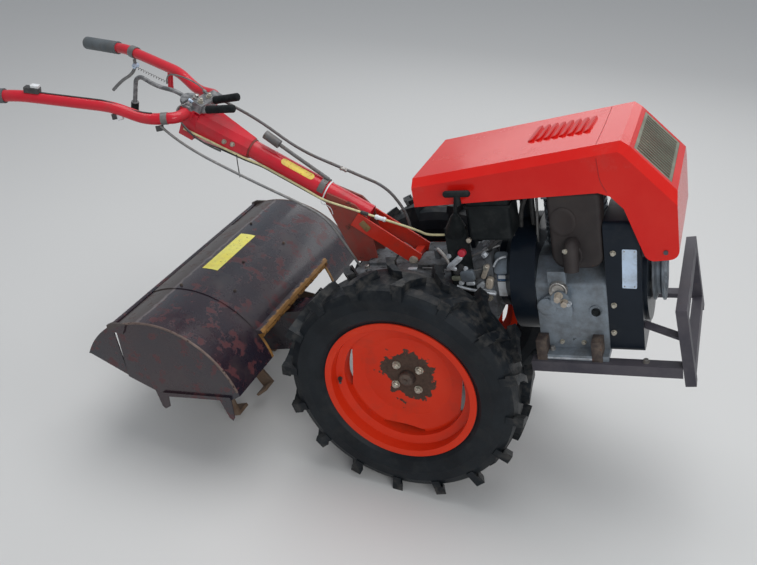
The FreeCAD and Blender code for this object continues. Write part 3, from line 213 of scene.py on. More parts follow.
# %% A coat material
def coat_material(name, coat, faded, bare, dust, levels=(0.55, 0.72, 0.66), size=1.0, gloss=0.32, metallic=0.0,
                  lacquer=0.0, bump=0.08, shine=0.30):
    """A finish from the worn-coat group. The levels say how rare fading, bare places and dust are."""
    material = bpy.data.materials.new(name)
    material.use_nodes = True
    tree = material.node_tree
    shader = tree.nodes["Principled BSDF"]
    worn = tree.nodes.new("ShaderNodeGroup")
    worn.node_tree = WORN_COAT
    for label, colour in (("Coat", coat), ("Faded", faded), ("Bare", bare), ("Dust", dust)):
        worn.inputs[label].default_value = (*colour, 1)
    for label, value in zip(("Fade Level", "Bare Level", "Dust Level", "Size", "Gloss"), (*levels, size, gloss)):
        worn.inputs[label].default_value = value
    tree.links.new(worn.outputs["Color"], shader.inputs["Base Color"])
    tree.links.new(worn.outputs["Roughness"], shader.inputs["Roughness"])
    relief = add_node(tree, "ShaderNodeBump", [("Height", worn.outputs["Height"]), ("Strength", bump),
                                               ("Distance", 0.002)])
    tree.links.new(relief.outputs["Normal"], shader.inputs["Normal"])
    shader.inputs["Metallic"].default_value = metallic
    shader.inputs["Specular IOR Level"].default_value = shine
    shader.inputs["Coat Weight"].default_value = lacquer
    shader.inputs["Coat Roughness"].default_value = 0.12
    return material


print("coat material ready")

# %% Red paints
RUST = (0.115, 0.050, 0.028)
SOIL = (0.215, 0.165, 0.125)
bonnet_red = coat_material("bonnet_red", (0.58, 0.009, 0.006), (0.64, 0.026, 0.016), (0.42, 0.33, 0.29),
                           (0.46, 0.05, 0.04), (0.60, 0.80, 0.76), 1.0, 0.24, lacquer=0.25, shine=0.15)
frame_red = coat_material("frame_red", (0.50, 0.010, 0.024), (0.58, 0.026, 0.040), RUST, (0.30, 0.05, 0.05),
                          (0.56, 0.715, 0.70), 1.6, 0.28, lacquer=0.3, shine=0.2)
brace_red = coat_material("brace_red", (0.52, 0.022, 0.010), (0.56, 0.038, 0.018), RUST, (0.22, 0.04, 0.03),
                          (0.5, 0.70, 0.66), 2.0, 0.34, lacquer=0.2)
seam_red = coat_material("seam_red", (0.36, 0.012, 0.012), (0.46, 0.04, 0.035), (0.20, 0.05, 0.04),
                         (0.30, 0.07, 0.06), (0.55, 0.70, 0.66), 3.0, 0.4)
support_brown = coat_material("support_brown", (0.20, 0.035, 0.028), (0.30, 0.05, 0.035), (0.08, 0.035, 0.025),
                              (0.12, 0.08, 0.065), (0.5, 0.62, 0.6), 2.0, 0.42)
print("red paints", [paint.name for paint in (bonnet_red, frame_red, brace_red, seam_red, support_brown)])

# %% Dark coats
HOOD_COLOURS = ((0.010, 0.013, 0.022), (0.026, 0.012, 0.018), (0.066, 0.018, 0.022), (0.045, 0.036, 0.036))
HOOD_WEAR = dict(levels=(0.50, 0.57, 0.70), size=1.3, gloss=0.26, lacquer=0.55, bump=0.14, shine=0.35)
hood_maroon = coat_material("hood_maroon", *HOOD_COLOURS, **HOOD_WEAR)
bumper_steel = coat_material("bumper_steel", (0.044, 0.042, 0.054), (0.074, 0.068, 0.080), (0.12, 0.074, 0.066),
                             (0.10, 0.092, 0.10), (0.52, 0.68, 0.64), 2.0, 0.46, metallic=0.1, bump=0.2)
silencer_brown = coat_material("silencer_brown", (0.017, 0.015, 0.016), (0.028, 0.021, 0.020), (0.07, 0.04, 0.028),
                               (0.044, 0.038, 0.036), (0.5, 0.66, 0.6), 2.2, 0.55, bump=0.2)
shroud_black = coat_material("shroud_black", (0.0050, 0.0085, 0.0140), (0.009, 0.014, 0.022), (0.07, 0.055, 0.05),
                             (0.034, 0.034, 0.036), (0.55, 0.75, 0.76), 1.5, 0.30, lacquer=0.06, shine=0.16)
grip_black = coat_material("grip_black", (0.0065, 0.0085, 0.0095), (0.016, 0.019, 0.020), (0.07, 0.075, 0.075),
                           (0.036, 0.038, 0.037), (0.52, 0.74, 0.70), 5.0, 0.50, bump=0.2, shine=0.12)
grip_grey = coat_material("grip_grey", (0.085, 0.100, 0.110), (0.13, 0.145, 0.155), (0.05, 0.05, 0.05),
                          (0.11, 0.11, 0.105), (0.52, 0.70, 0.62), 5.0, 0.55, bump=0.2, shine=0.2)
black_plastic = coat_material("black_plastic", (0.018, 0.020, 0.023), (0.038, 0.041, 0.044), (0.10, 0.10, 0.09),
                              (0.085, 0.08, 0.075), (0.52, 0.72, 0.62), 9.0, 0.45)
print("dark coats ready, the hood's in", len(HOOD_COLOURS), "colours")

# %% Castings, bare steel and the pale plastics
tine_steel = coat_material("tine_steel", (0.115, 0.07, 0.045), (0.17, 0.10, 0.06), (0.30, 0.26, 0.22), SOIL,
                           (0.5, 0.70, 0.52), 3.0, 0.62, metallic=0.3, bump=0.3)
bare_steel = coat_material("bare_steel", (0.42, 0.41, 0.39), (0.32, 0.30, 0.28), RUST, (0.24, 0.21, 0.18),
                           (0.55, 0.66, 0.66), 4.0, 0.36, metallic=0.8)
alloy_grey = coat_material("alloy_grey", (0.19, 0.23, 0.27), (0.27, 0.31, 0.35), (0.06, 0.06, 0.06),
                           (0.09, 0.085, 0.08), (0.48, 0.70, 0.60), 2.2, 0.42, metallic=0.55, bump=0.16)
gear_grey = coat_material("gear_grey", (0.13, 0.145, 0.165), (0.30, 0.33, 0.36), (0.020, 0.020, 0.022),
                          (0.060, 0.055, 0.050), (0.55, 0.62, 0.50), 3.2, 0.50, metallic=0.45, bump=0.3)
cast_brown = coat_material("cast_brown", (0.030, 0.024, 0.023), (0.050, 0.038, 0.034), (0.10, 0.05, 0.034), SOIL,
                           (0.5, 0.62, 0.66), 2.5, 0.58, bump=0.3)
grille_green = coat_material("grille_green", (0.16, 0.175, 0.135), (0.27, 0.285, 0.22), (0.34, 0.33, 0.25),
                             (0.16, 0.15, 0.12), (0.50, 0.64, 0.60), 2.5, 0.45, metallic=0.25)
steel_rod = coat_material("steel_rod", (0.10, 0.10, 0.105), (0.16, 0.16, 0.165), RUST, (0.15, 0.13, 0.11),
                          (0.52, 0.62, 0.60), 7.0, 0.42, metallic=0.4)
cream_plastic = coat_material("cream_plastic", (0.66, 0.60, 0.33), (0.54, 0.50, 0.28), (0.20, 0.17, 0.11),
                              (0.30, 0.27, 0.19), (0.52, 0.68, 0.62), 9.0, 0.45)
print("materials so far", len(bpy.data.materials))

# %% [markdown]
# ## Tyre rubber and the wheel's paint
# The tyres are dusty on the shoulders and darker in the middle of the wall, so the rubber reads its distance from the
# wheel's axle. The rim's paint has gone round the four bolts. That brown patch could be a disc of its own, but a thin
# disc shows its edge, so the same distance, broken up by noise, colours the rim itself.

# %% Rings about the wheel's axle
AXLE_X, AXLE_Z = 0.28515, 0.322


def ring_distance(tree, place):
    """The distance of a place from the wheels' axle, in metres."""
    from_axle = vector_maths(tree, "SUBTRACT", place, (AXLE_X, 0.0, AXLE_Z))
    return vector_maths(tree, "LENGTH", vector_maths(tree, "MULTIPLY", from_axle, (1.0, 0.0, 1.0)))


def open_coat(material):
    """What a second coat needs: the node tree, the shader's inputs and the object's own coordinates."""
    tree = material.node_tree
    return tree, tree.nodes["Principled BSDF"].inputs, object_place(tree)


def lay_over(tree, socket, mask, colour):
    """Paints a colour over what feeds a socket, where the mask is 1."""
    tree.links.new(blend_colour(tree, mask, socket.links[0].from_socket, colour), socket)


def make_rougher(tree, socket, mask, more):
    tree.links.new(maths(tree, "MULTIPLY_ADD", mask, more, socket.links[0].from_socket), socket)


print("the axle's height is", AXLE_Z)

# %% Rim paint
def make_rim_paint():
    """Red paint that has gone, with a ragged border, round the bolts."""
    material = coat_material("rim_red", (0.60, 0.030, 0.008), (0.64, 0.042, 0.014), (0.13, 0.06, 0.035),
                             (0.34, 0.045, 0.024), (0.58, 0.80, 0.76), 1.6, 0.28, lacquer=0.15, shine=0.10)
    tree, inputs, place = open_coat(material)
    patch_reach = 0.15
    reach = maths(tree, "MULTIPLY_ADD", noise(tree, place, 26.0, 7.0, 0.62), -patch_reach, ring_distance(tree, place))
    gone = remap(tree, reach, -0.003, -0.006)
    brown = blend_colour(tree, noise(tree, place, 120.0, 5.0), (0.026, 0.018, 0.015, 1), (0.105, 0.066, 0.048, 1))
    lay_over(tree, inputs["Base Color"], gone, brown)
    make_rougher(tree, inputs["Roughness"], gone, 0.4)
    return material


rim_red = make_rim_paint()
print("rim paint", rim_red.name)

# %% Tyre rubber
def make_rubber():
    """Dark rubber with dusty specks that begin at the tyre's shoulder."""
    material = coat_material("tyre_rubber", (0.0060, 0.0080, 0.0105), (0.013, 0.017, 0.021), (0.042, 0.044, 0.044),
                             (0.028, 0.029, 0.029), (0.55, 0.75, 0.70), 3.0, 0.40, bump=0.18, shine=0.18)
    tree, inputs, place = open_coat(material)
    shoulder_starts, shoulder_ends = 0.286, 0.304
    shoulder = remap(tree, ring_distance(tree, place), shoulder_starts, shoulder_ends)
    dusty = maths(tree, "MULTIPLY", shoulder, patch_mask(tree, place, 46.0, 0.56, 0.10))
    lay_over(tree, inputs["Base Color"], dusty, (0.046, 0.045, 0.043, 1))
    return material


tyre_rubber = make_rubber()
print("rubber", tyre_rubber.name)

# %% [markdown]
# ## Finishes on the solids
# Each solid gets the finish of the real piece. The table reads from finish to solids, so a missing solid shows at
# once.

# %% Assign the finishes
FINISH = {
    tyre_rubber: ["tyre_left", "tyre_right"],
    rim_red: ["rim_left", "rim_right"],
    cast_brown: ["hub_left", "hub_right", "axle_housing_left", "axle_housing_right"],
    gear_grey: ["gearbox"],
    alloy_grey: ["crankcase", "cylinder", "starter_pulley"],
    shroud_black: ["fan_shroud", "fuel_tank", "clutch_bell"],
    silencer_brown: ["muffler", "exhaust_outlet", "exhaust_pipe"],
    grip_black: ["air_filter", "intake_pipe", "clutch_lever"],
    grip_grey: ["grip_left", "grip_right"],
    steel_rod: ["control_rod", "gear_lever"],
    cream_plastic: ["cream_cable"],
    black_plastic: ["black_cable"],
    bumper_steel: ["bumper", "bumper_stay", "rail_left", "rail_right", "bonnet_hinge"],
    bonnet_red: ["bonnet"],
    grille_green: ["grille"],
    frame_red: ["column", "column_sleeve", "handle_head", "handle_left", "handle_right"],
    support_brown: ["column_support"],
    brace_red: ["brace"],
    hood_maroon: ["tiller_hood", "tiller_flap", "tiller_case"],
    tine_steel: ["rotor"],
}
for finish, names in FINISH.items():
    for name in names:
        mesh = nodes[name].data
        mesh.materials.clear()
        mesh.materials.append(finish)
left_plain = sorted(set(nodes) - {name for names in FINISH.values() for name in names})
print("solids without a finish:", left_plain)

# %% [markdown]
# ## Small pieces: how each one is placed
# Bolts, clips, labels and wires are too small for the solids, so they are modelled here. Each one is shaped on the
# origin, flat side down, and is then stood on the surface that carries it. The machine parks nose up, so places are
# given in its own level frame: forward, left and up from the wheels' axle, in millimetres. World coordinates would do
# as well, but then nothing would line up with the machine's own straight edges.

# %% The machine's own frame
PITCH = math.radians(11.7323)
MACHINE = Matrix.Translation((AXLE_X, 0, AXLE_Z)) @ Matrix.Rotation(-PITCH, 4, "Y")
LEVEL = Matrix.Translation((AXLE_X, 0, AXLE_Z))
PER_MM = 0.001


def stand(spot, outward, along=(1, 0, 0), frame_of=MACHINE):
    """A place on the machine, with Z out of the surface and X along it."""
    out = Vector(outward).normalized()
    side = out.cross(Vector(along)).normalized()
    turn = Matrix((side.cross(out), side, out)).transposed().to_4x4()
    return frame_of @ Matrix.Translation(Vector(spot) * PER_MM) @ turn


def on_column(along, above, left):
    """A place beside the handlebar's column: along it, above it and to its left."""
    return (-112 - 0.8396 * along + 0.5432 * above, left, 369 + 0.5432 * along + 0.8396 * above)


COLUMN_UP = (0.5432, 0, 0.8396)
COLUMN_BACK = (-0.8396, 0, 0.5432)
print("a spot on the ground frame:", tuple(round(c, 3) for c in MACHINE @ Vector((0.1, 0, 0.2))))

# %% [markdown]
# ## The head's grey clamp
# The handlebar's head is one solid, but on the real machine the castings on top of it and behind it are bare metal.
# They could be painted face by face. A mask along the column's own directions is simpler, and the red stops on a
# straight line.

# %% Head paint
HEAD = 520.3
CLAMP_ABOVE, CLAMP_BEHIND = 0.046, 0.050


def reach_along(tree, place, start, way):
    """How far a place lies from a start, along a direction of the machine."""
    away = vector_maths(tree, "SUBTRACT", place, start)
    return vector_maths(tree, "DOT_PRODUCT", away, MACHINE.to_3x3() @ Vector(way))


def make_head_paint():
    """The head's red paint, with bare grey castings above its top face and behind it."""
    material = coat_material("head_paint", (0.50, 0.012, 0.026), (0.58, 0.030, 0.045), RUST, (0.30, 0.06, 0.06),
                             (0.56, 0.70, 0.68), 2.0, 0.32, lacquer=0.3)
    tree, inputs, place = open_coat(material)
    start = MACHINE @ (Vector(on_column(HEAD, 0, 0)) * PER_MM)
    over = [maths(tree, "SUBTRACT", reach_along(tree, place, start, way), limit)
            for way, limit in ((COLUMN_UP, CLAMP_ABOVE), (COLUMN_BACK, CLAMP_BEHIND))]
    grey = remap(tree, maths(tree, "MAXIMUM", *over), 0.0, 0.001)
    speck = patch_mask(tree, place, 60.0, 0.52, 0.10)
    metal = blend_colour(tree, speck, (0.085, 0.088, 0.092, 1), (0.22, 0.22, 0.225, 1))
    lay_over(tree, inputs["Base Color"], grey, metal)
    return material


nodes["handle_head"].data.materials[0] = make_head_paint()
print("the head's upper castings are grey")

# %% [markdown]
# ## Rust on the tiller's hood
# The hood's dark paint is worn in three places: brown dust lies on the sheet behind its crest, a pale scratched line
# runs along the crest, and the front lip has rusted. A painted picture could show them, but masks made from the
# distance to the hood's axis and from the machine's own directions need none, and noise makes their borders ragged.

# %% Masks on the hood
HOOD_CENTRE = (-643, 0, 0)
HOOD_OUTSIDE = 0.2505
LIP_DEGREES = 27
LIP_HALF_WIDTH = 0.2145
CREST_BEHIND = 0.013


def hood_masks(tree, place, ragged):
    """Where the dust, the scratched crest and the rusty lip are."""
    centre = MACHINE @ (Vector(HOOD_CENTRE) * PER_MM)

    def ragged_reach(way):
        return maths(tree, "MULTIPLY_ADD", ragged, -0.022, reach_along(tree, place, centre, way))

    flat = [reach_along(tree, place, centre, way) for way in ((1, 0, 0), (0, 0, 1))]
    from_axis = maths(tree, "POWER", maths(tree, "ADD", *(maths(tree, "POWER", side, 2.0) for side in flat)), 0.5)
    outside = remap(tree, from_axis, HOOD_OUTSIDE - 0.0002, HOOD_OUTSIDE + 0.0003)
    ahead = ragged_reach((1, 0, 0))
    dust = maths(tree, "MULTIPLY", remap(tree, ahead, -0.006, -0.022), outside)
    from_crest = maths(tree, "ABSOLUTE", maths(tree, "ADD", ahead, CREST_BEHIND))
    scratched = maths(tree, "MULTIPLY", remap(tree, from_crest, 0.006, 0.002), outside)
    lip_turn = math.radians(LIP_DEGREES)
    round_the_front = ragged_reach((-math.sin(lip_turn), 0, math.cos(lip_turn)))
    aside = maths(tree, "ABSOLUTE", add_node(tree, "ShaderNodeSeparateXYZ", [(0, place)]).outputs["Y"])
    lip = maths(tree, "MULTIPLY", remap(tree, round_the_front, -0.003, -0.006),
                remap(tree, aside, LIP_HALF_WIDTH + 0.0003, LIP_HALF_WIDTH - 0.0002))
    return dust, maths(tree, "MULTIPLY", scratched, ragged), lip


print("the lip ends", LIP_HALF_WIDTH, "metres from the middle")

# %% Hood paint
def make_hood_paint():
    material = coat_material("hood_paint", *HOOD_COLOURS, **HOOD_WEAR)
    tree, inputs, place = open_coat(material)
    ragged = noise(tree, place, 34.0, 6.0, 0.65)
    dust, scratched, lip = hood_masks(tree, place, ragged)
    rust = blend_colour(tree, ragged, (0.10, 0.045, 0.018, 1), (0.42, 0.22, 0.06, 1))
    lay_over(tree, inputs["Base Color"], maths(tree, "MULTIPLY", dust, 0.7), (0.055, 0.042, 0.034, 1))
    lay_over(tree, inputs["Base Color"], scratched, (0.20, 0.17, 0.17, 1))
    lay_over(tree, inputs["Base Color"], lip, rust)
    make_rougher(tree, inputs["Roughness"], dust, 0.28)
    make_rougher(tree, inputs["Roughness"], lip, 0.4)
    return material


nodes["tiller_hood"].data.materials[0] = make_hood_paint()
print("the hood's lip is rusty")

# %% [markdown]
# ## Tools for modelling
# Every piece begins as a primitive and is worked in edit mode. A mesh could also be typed in as lists of points, but
# then nobody could read how it was shaped. An operator acts on all that is selected, so each tool deselects
# everything first and then picks faces and edges by their place or by the way they face.

# %% Starting and picking
def start_solid(name, kind, **values):
    """Adds a primitive with all else deselected, ready to be shaped."""
    if bpy.context.object and bpy.context.object.mode != "OBJECT":
        bpy.ops.object.mode_set(mode="OBJECT")
    bpy.ops.object.select_all(action="DESELECT")
    getattr(bpy.ops.mesh, "primitive_" + kind + "_add")(**values)
    bpy.ops.object.transform_apply(location=True, rotation=True, scale=True)
    piece = bpy.context.object
    piece.name = name
    piece.data.name = name
    return piece


def start_block(name, size, middle):
    """A cube, brought to its size about its middle and left in edit mode."""
    piece = start_solid(name, "cube", size=1)
    bpy.ops.object.mode_set(mode="EDIT")
    bpy.ops.transform.resize(value=size)
    bpy.ops.transform.translate(value=middle)
    return piece


def start_round(name, sides, radius, tall):
    """A cylinder that stands on the origin, left in edit mode."""
    piece = start_solid(name, "cylinder", vertices=sides, radius=radius, depth=tall, location=(0, 0, tall / 2))
    bpy.ops.object.mode_set(mode="EDIT")
    return piece


def pick(piece, kind, test):
    """Selects in edit mode the faces or the edges that a test accepts."""
    bpy.ops.mesh.select_mode(type=kind)
    bpy.ops.mesh.select_all(action="DESELECT")
    form = bmesh.from_edit_mesh(piece.data)
    for element in (form.faces if kind == "FACE" else form.edges):
        if test(element):
            element.select_set(True)
    bmesh.update_edit_mesh(piece.data)


def pick_top(piece, above=-1.0, level=0.9):
    """Selects the faces that look up and lie above a height."""
    pick(piece, "FACE", lambda face: face.normal.z > level and face.calc_center_median().z > above)


def pick_upright_edges(piece, tall):
    pick(piece, "EDGE", lambda edge: abs(edge.verts[0].co.z - edge.verts[1].co.z) > tall)


print("tools to start and pick ready")

# %% Working a face and finishing a piece
def work_face(*steps):
    """Works the picked face in steps: inset it, push it out or in, or draw a new wall up from it."""
    for way, size in steps:
        if way == "inset":
            bpy.ops.mesh.inset(thickness=size)
        elif way == "push":
            bpy.ops.transform.translate(value=(0, 0, size))
        else:
            bpy.ops.mesh.extrude_region_move(TRANSFORM_OT_translate={"value": (0, 0, size)})


def shaped(piece):
    bpy.ops.object.mode_set(mode="OBJECT")
    return piece


def thicken(piece, thick):
    """Gives a sheet its thickness, outwards."""
    solid = piece.modifiers.new("thickness", "SOLIDIFY")
    solid.thickness = thick
    solid.offset = 1
    bpy.ops.object.modifier_apply(modifier=solid.name)
    return piece


def settle(piece, body, finish, place=None, smooth=32):
    """Stands a piece in its place, bakes the place into its mesh, gives it its finish and lets it ride on a body."""
    bpy.ops.object.select_all(action="DESELECT")
    piece.select_set(True)
    bpy.context.view_layer.objects.active = piece
    if place is not None:
        piece.matrix_world = place
    bpy.ops.object.transform_apply(location=True, rotation=True, scale=True)
    bpy.ops.object.shade_smooth_by_angle(angle=math.radians(smooth))
    piece.data.materials.clear()
    piece.data.materials.append(finish)
    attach(piece, body)
    return piece


def copy_piece(model, name):
    """A copy that has its own mesh."""
    twin = model.copy()
    twin.data = model.data.copy()
    twin.name = name
    twin.data.name = name
    bpy.context.scene.collection.objects.link(twin)
    return twin


print("tools to work and finish ready")

# %% A hexagon bolt
def hex_bolt(name, width, high, stud=0.0):
    """A round washer, a hexagon with a bevelled top and, for a nut, the end of its stud."""
    thin = width * 0.13
    top = thin + high
    bolt = start_round(name, 28, width * 0.66, thin)
    pick_top(bolt)
    work_face(("inset", width * 0.05))
    bpy.ops.mesh.select_all(action="DESELECT")
    bpy.ops.mesh.primitive_cylinder_add(vertices=6, radius=width * 0.55, depth=high, location=(0, 0, thin + high / 2))
    pick_top(bolt, above=top - 0.0001)
    work_face(("inset", width * 0.07), ("push", width * 0.07))
    if stud:
        bpy.ops.mesh.select_all(action="DESELECT")
        bpy.ops.mesh.primitive_cylinder_add(vertices=16, radius=width * 0.28, depth=stud,
                                            location=(0, 0, top + stud / 2))
        pick_top(bolt, above=top + stud - 0.0001)
        work_face(("inset", width * 0.06), ("push", width * 0.04))
    return shaped(bolt)


print("bolt ready")

# %% A plate
def plate(name, long, wide, thick, corner=0.002, rim=0.0, raise_by=0.0):
    """A plate on the origin's plane with rounded corners and, where wanted, a sunk or raised middle."""
    piece = start_block(name, (long, wide, thick), (0, 0, thick / 2))
    pick_upright_edges(piece, thick * 0.5)
    bpy.ops.mesh.bevel(offset=corner, segments=4, affect="EDGES")
    if rim:
        pick_top(piece)
        work_face(("inset", rim), ("push", raise_by))
    return shaped(piece)


def pressed_plate(name, long, wide, thick, corner):
    """A plate whose middle stands a little proud of its rim."""
    return plate(name, long, wide, thick, corner, min(long, wide) * 0.14, thick * 0.18)


print("plates ready")

# %% A rod, wire or thin hose
def rod(name, finish, radius, points, body="chassis"):
    """A wire through points in the machine's frame: a curve with a round section, made a mesh and finished."""
    bpy.ops.object.select_all(action="DESELECT")
    curve = bpy.data.curves.new(name, "CURVE")
    curve.dimensions = "3D"
    line = curve.splines.new("NURBS")
    line.points.add(len(points) - 1)
    for point, spot in zip(line.points, points):
        point.co = (*(Vector(spot) * PER_MM), 1)
    line.order_u = 3
    line.use_endpoint_u = True
    curve.bevel_depth = radius * PER_MM
    curve.bevel_resolution = 3
    curve.use_fill_caps = True
    piece = bpy.data.objects.new(name, curve)
    bpy.context.scene.collection.objects.link(piece)
    piece.select_set(True)
    bpy.context.view_layer.objects.active = piece
    bpy.ops.object.convert(target="MESH")
    piece = bpy.context.object
    piece.data.name = name
    return settle(piece, body, finish, MACHINE, 60)


print("rod ready")

# %% [markdown]
# ## Finishes of the small pieces
# Zinc-plated bolts look pale and a little yellow, plastic ties and labels have a dull skin with some dirt in it, and
# bare places on the wheel and engine are brown. New groups could be built for them, but they wear in the same way as
# the coats do, so they use the same worn-coat group with other colours.

# %% Small finishes: metals
zinc = coat_material("zinc_plate", (0.55, 0.53, 0.45), (0.42, 0.40, 0.34), (0.16, 0.12, 0.08), (0.24, 0.20, 0.16),
                     (0.55, 0.66, 0.62), 9.0, 0.34, metallic=0.7)
# Bare steel, made paler and bluer than the metal itself: partly steel, partly a painted reflection of the sky on it.
steel_with_painted_sheen = coat_material("steel_with_painted_sheen", (0.66, 0.70, 0.74), (0.50, 0.54, 0.58), (0.12, 0.11, 0.10),
                             (0.20, 0.20, 0.20), (0.52, 0.64, 0.62), 7.0, 0.30, metallic=0.35)
beige_metal = coat_material("beige_metal", (0.50, 0.44, 0.36), (0.40, 0.35, 0.29), (0.12, 0.09, 0.07),
                            (0.22, 0.19, 0.16), (0.52, 0.64, 0.62), 7.0, 0.40, metallic=0.2)
edge_brown = coat_material("edge_brown", (0.11, 0.075, 0.065), (0.20, 0.15, 0.13), (0.035, 0.022, 0.022),
                           (0.13, 0.10, 0.085), (0.50, 0.58, 0.62), 5.0, 0.5, bump=0.3, shine=0.2)
lip_rust = coat_material("lip_rust", (0.24, 0.115, 0.030), (0.33, 0.17, 0.05), (0.06, 0.03, 0.02), (0.16, 0.09, 0.04),
                         (0.50, 0.57, 0.60), 4.0, 0.7, bump=0.5, shine=0.15)
rod_grey = coat_material("rod_grey", (0.17, 0.175, 0.18), (0.25, 0.25, 0.25), (0.10, 0.065, 0.045),
                         (0.15, 0.13, 0.11), (0.52, 0.64, 0.62), 9.0, 0.42, metallic=0.5)
bracket_rust = coat_material("bracket_rust", (0.24, 0.15, 0.06), (0.32, 0.21, 0.09), (0.10, 0.05, 0.03),
                             (0.16, 0.12, 0.08), (0.50, 0.60, 0.60), 7.0, 0.5, metallic=0.2)
print("small metals ready")

# %% Small finishes: plastics, labels and knobs
label_yellow = coat_material("label_yellow", (0.80, 0.62, 0.10), (0.72, 0.50, 0.12), (0.62, 0.20, 0.08),
                             (0.45, 0.34, 0.12), (0.50, 0.60, 0.66), 7.0, 0.45)
plastic_white = coat_material("plastic_white", (0.76, 0.79, 0.82), (0.62, 0.64, 0.66), (0.30, 0.28, 0.24),
                              (0.38, 0.35, 0.30), (0.55, 0.70, 0.66), 8.0, 0.42)
plate_pale = coat_material("plate_pale", (0.52, 0.64, 0.80), (0.44, 0.54, 0.66), (0.20, 0.20, 0.20),
                           (0.28, 0.30, 0.32), (0.52, 0.68, 0.64), 5.0, 0.38, metallic=0.1)
strip_yellow = coat_material("strip_yellow", (0.78, 0.74, 0.17), (0.80, 0.66, 0.06), (0.30, 0.27, 0.10),
                             (0.56, 0.50, 0.20), (0.62, 0.63, 0.66), 6.0, 0.45)
cable_black = coat_material("cable_black", (0.028, 0.029, 0.030), (0.055, 0.056, 0.058), (0.12, 0.11, 0.10),
                            (0.09, 0.085, 0.08), (0.52, 0.72, 0.62), 9.0, 0.45)
tag_blue = coat_material("tag_blue", (0.03, 0.09, 0.20), (0.06, 0.13, 0.24), (0.40, 0.44, 0.46), (0.16, 0.18, 0.18),
                         (0.52, 0.62, 0.66), 9.0, 0.40)
knob_red = coat_material("knob_red", (0.52, 0.020, 0.045), (0.60, 0.06, 0.08), (0.12, 0.04, 0.04), (0.20, 0.06, 0.06),
                         (0.55, 0.72, 0.68), 9.0, 0.35)
print("materials in all", len(bpy.data.materials))

# %% [markdown]
# ## Wheels: bolts, hub cap and valve
# Four bolts on a small circle hold each wheel to its hub, at forty-five degrees. Their heads sit on the disc, one
# bolt is modelled and copied. In the middle a dark cap closes the hub, and the valve comes out of the rim's step. The
# cap and the valve are turned pieces: a short cylinder whose top face is inset and drawn out, which leaves real steps
# to catch light.

# %% Wheel bolts
DISC_FACE, HUB_FACE, BOLT_RING = 210, 222.5, 44
SIDES = (("right", -1), ("left", 1))
bolt_model = hex_bolt("wheel_bolt_model", 0.017, 0.0062, stud=0.004)
for side, sign in SIDES:
    for number in range(4):
        angle = math.radians(45 + 90 * number)
        spot = (BOLT_RING * math.cos(angle), sign * DISC_FACE, BOLT_RING * math.sin(angle))
        turned = (math.cos(angle + 0.3), 0, math.sin(angle + 0.3))
        settle(copy_piece(bolt_model, "wheel_bolt_%s_%d" % (side, number + 1)), "wheel_" + side, zinc,
               stand(spot, (0, sign, 0), turned, LEVEL))
bpy.data.objects.remove(bolt_model)

# %% Hub caps
for side, sign in SIDES:
    cap = start_round("hub_cap_" + side, 40, 0.0178, 0.003)
    pick_top(cap)
    work_face(("inset", 0.0022), ("push", 0.0015), ("inset", 0.007), ("push", 0.0022))
    work_face(("inset", 0.0025), ("draw", 0.004), ("inset", 0.0012))
    settle(shaped(cap), "wheel_" + side, cast_brown, stand((0, sign * HUB_FACE, 0), (0, sign, 0), (1, 0, 0), LEVEL))
print("hub caps on both wheels")

# %% Valves
VALVE_BEHIND, VALVE_OUT, VALVE_BELOW = 175, 247, 27
for side, sign in SIDES:
    valve = start_round("valve_" + side, 20, 0.0062, 0.004)
    pick_top(valve)
    work_face(("inset", 0.0022), ("draw", 0.010), ("inset", 0.0006), ("draw", 0.008))
    settle(shaped(valve), "wheel_" + side, cable_black,
           stand((-VALVE_BEHIND, sign * VALVE_OUT, -VALVE_BELOW), (0.45, sign, 0.07), (0, 0, 1), LEVEL))
print("valves on both wheels")

# %% [markdown]
# ## Finding the surface that carries a piece
# A bolt that hangs a millimetre in front of its casting gives itself away from the side. So the places of the bolts
# and of most other pieces are found by sending a ray at the solid that carries them, straight in from the side or
# down from above, and the piece is stood on the point that the ray meets.

# %% Rays on to a solid
depsgraph = bpy.context.evaluated_depsgraph_get()
trees = {}


def surface(node, start, aim):
    """The place where a ray in the machine's millimetres meets a solid, and the way the surface faces there."""
    if node not in trees:
        trees[node] = BVHTree.FromObject(nodes[node], depsgraph)
    turn = MACHINE.to_3x3()
    place, facing, _, _ = trees[node].ray_cast(MACHINE @ (Vector(start) * PER_MM), turn @ Vector(aim))
    if place is None:
        raise ValueError("no surface of %s from %s" % (node, start))
    return tuple((MACHINE.inverted() @ place) / PER_MM), tuple(turn.transposed() @ facing)


def on_side(node, forward, up, sign=-1):
    return surface(node, (forward, sign * 900, up), (0, -sign, 0))


def on_top(node, forward, left):
    return surface(node, (forward, left, 1200), (0, 0, -1))


print("the crankcase's side lies at", round(on_side("crankcase", 430, 140)[0][1], 1))

# %% [markdown]
# ## Engine and gearbox: bolts
# One pale bolt is modelled and copied to every place in the table: the solid that carries it, forward, up, its width
# across the flats and whether the left-hand side has the same. Real engines use two or three sizes, so each copy is
# scaled before its scale is baked into its mesh.

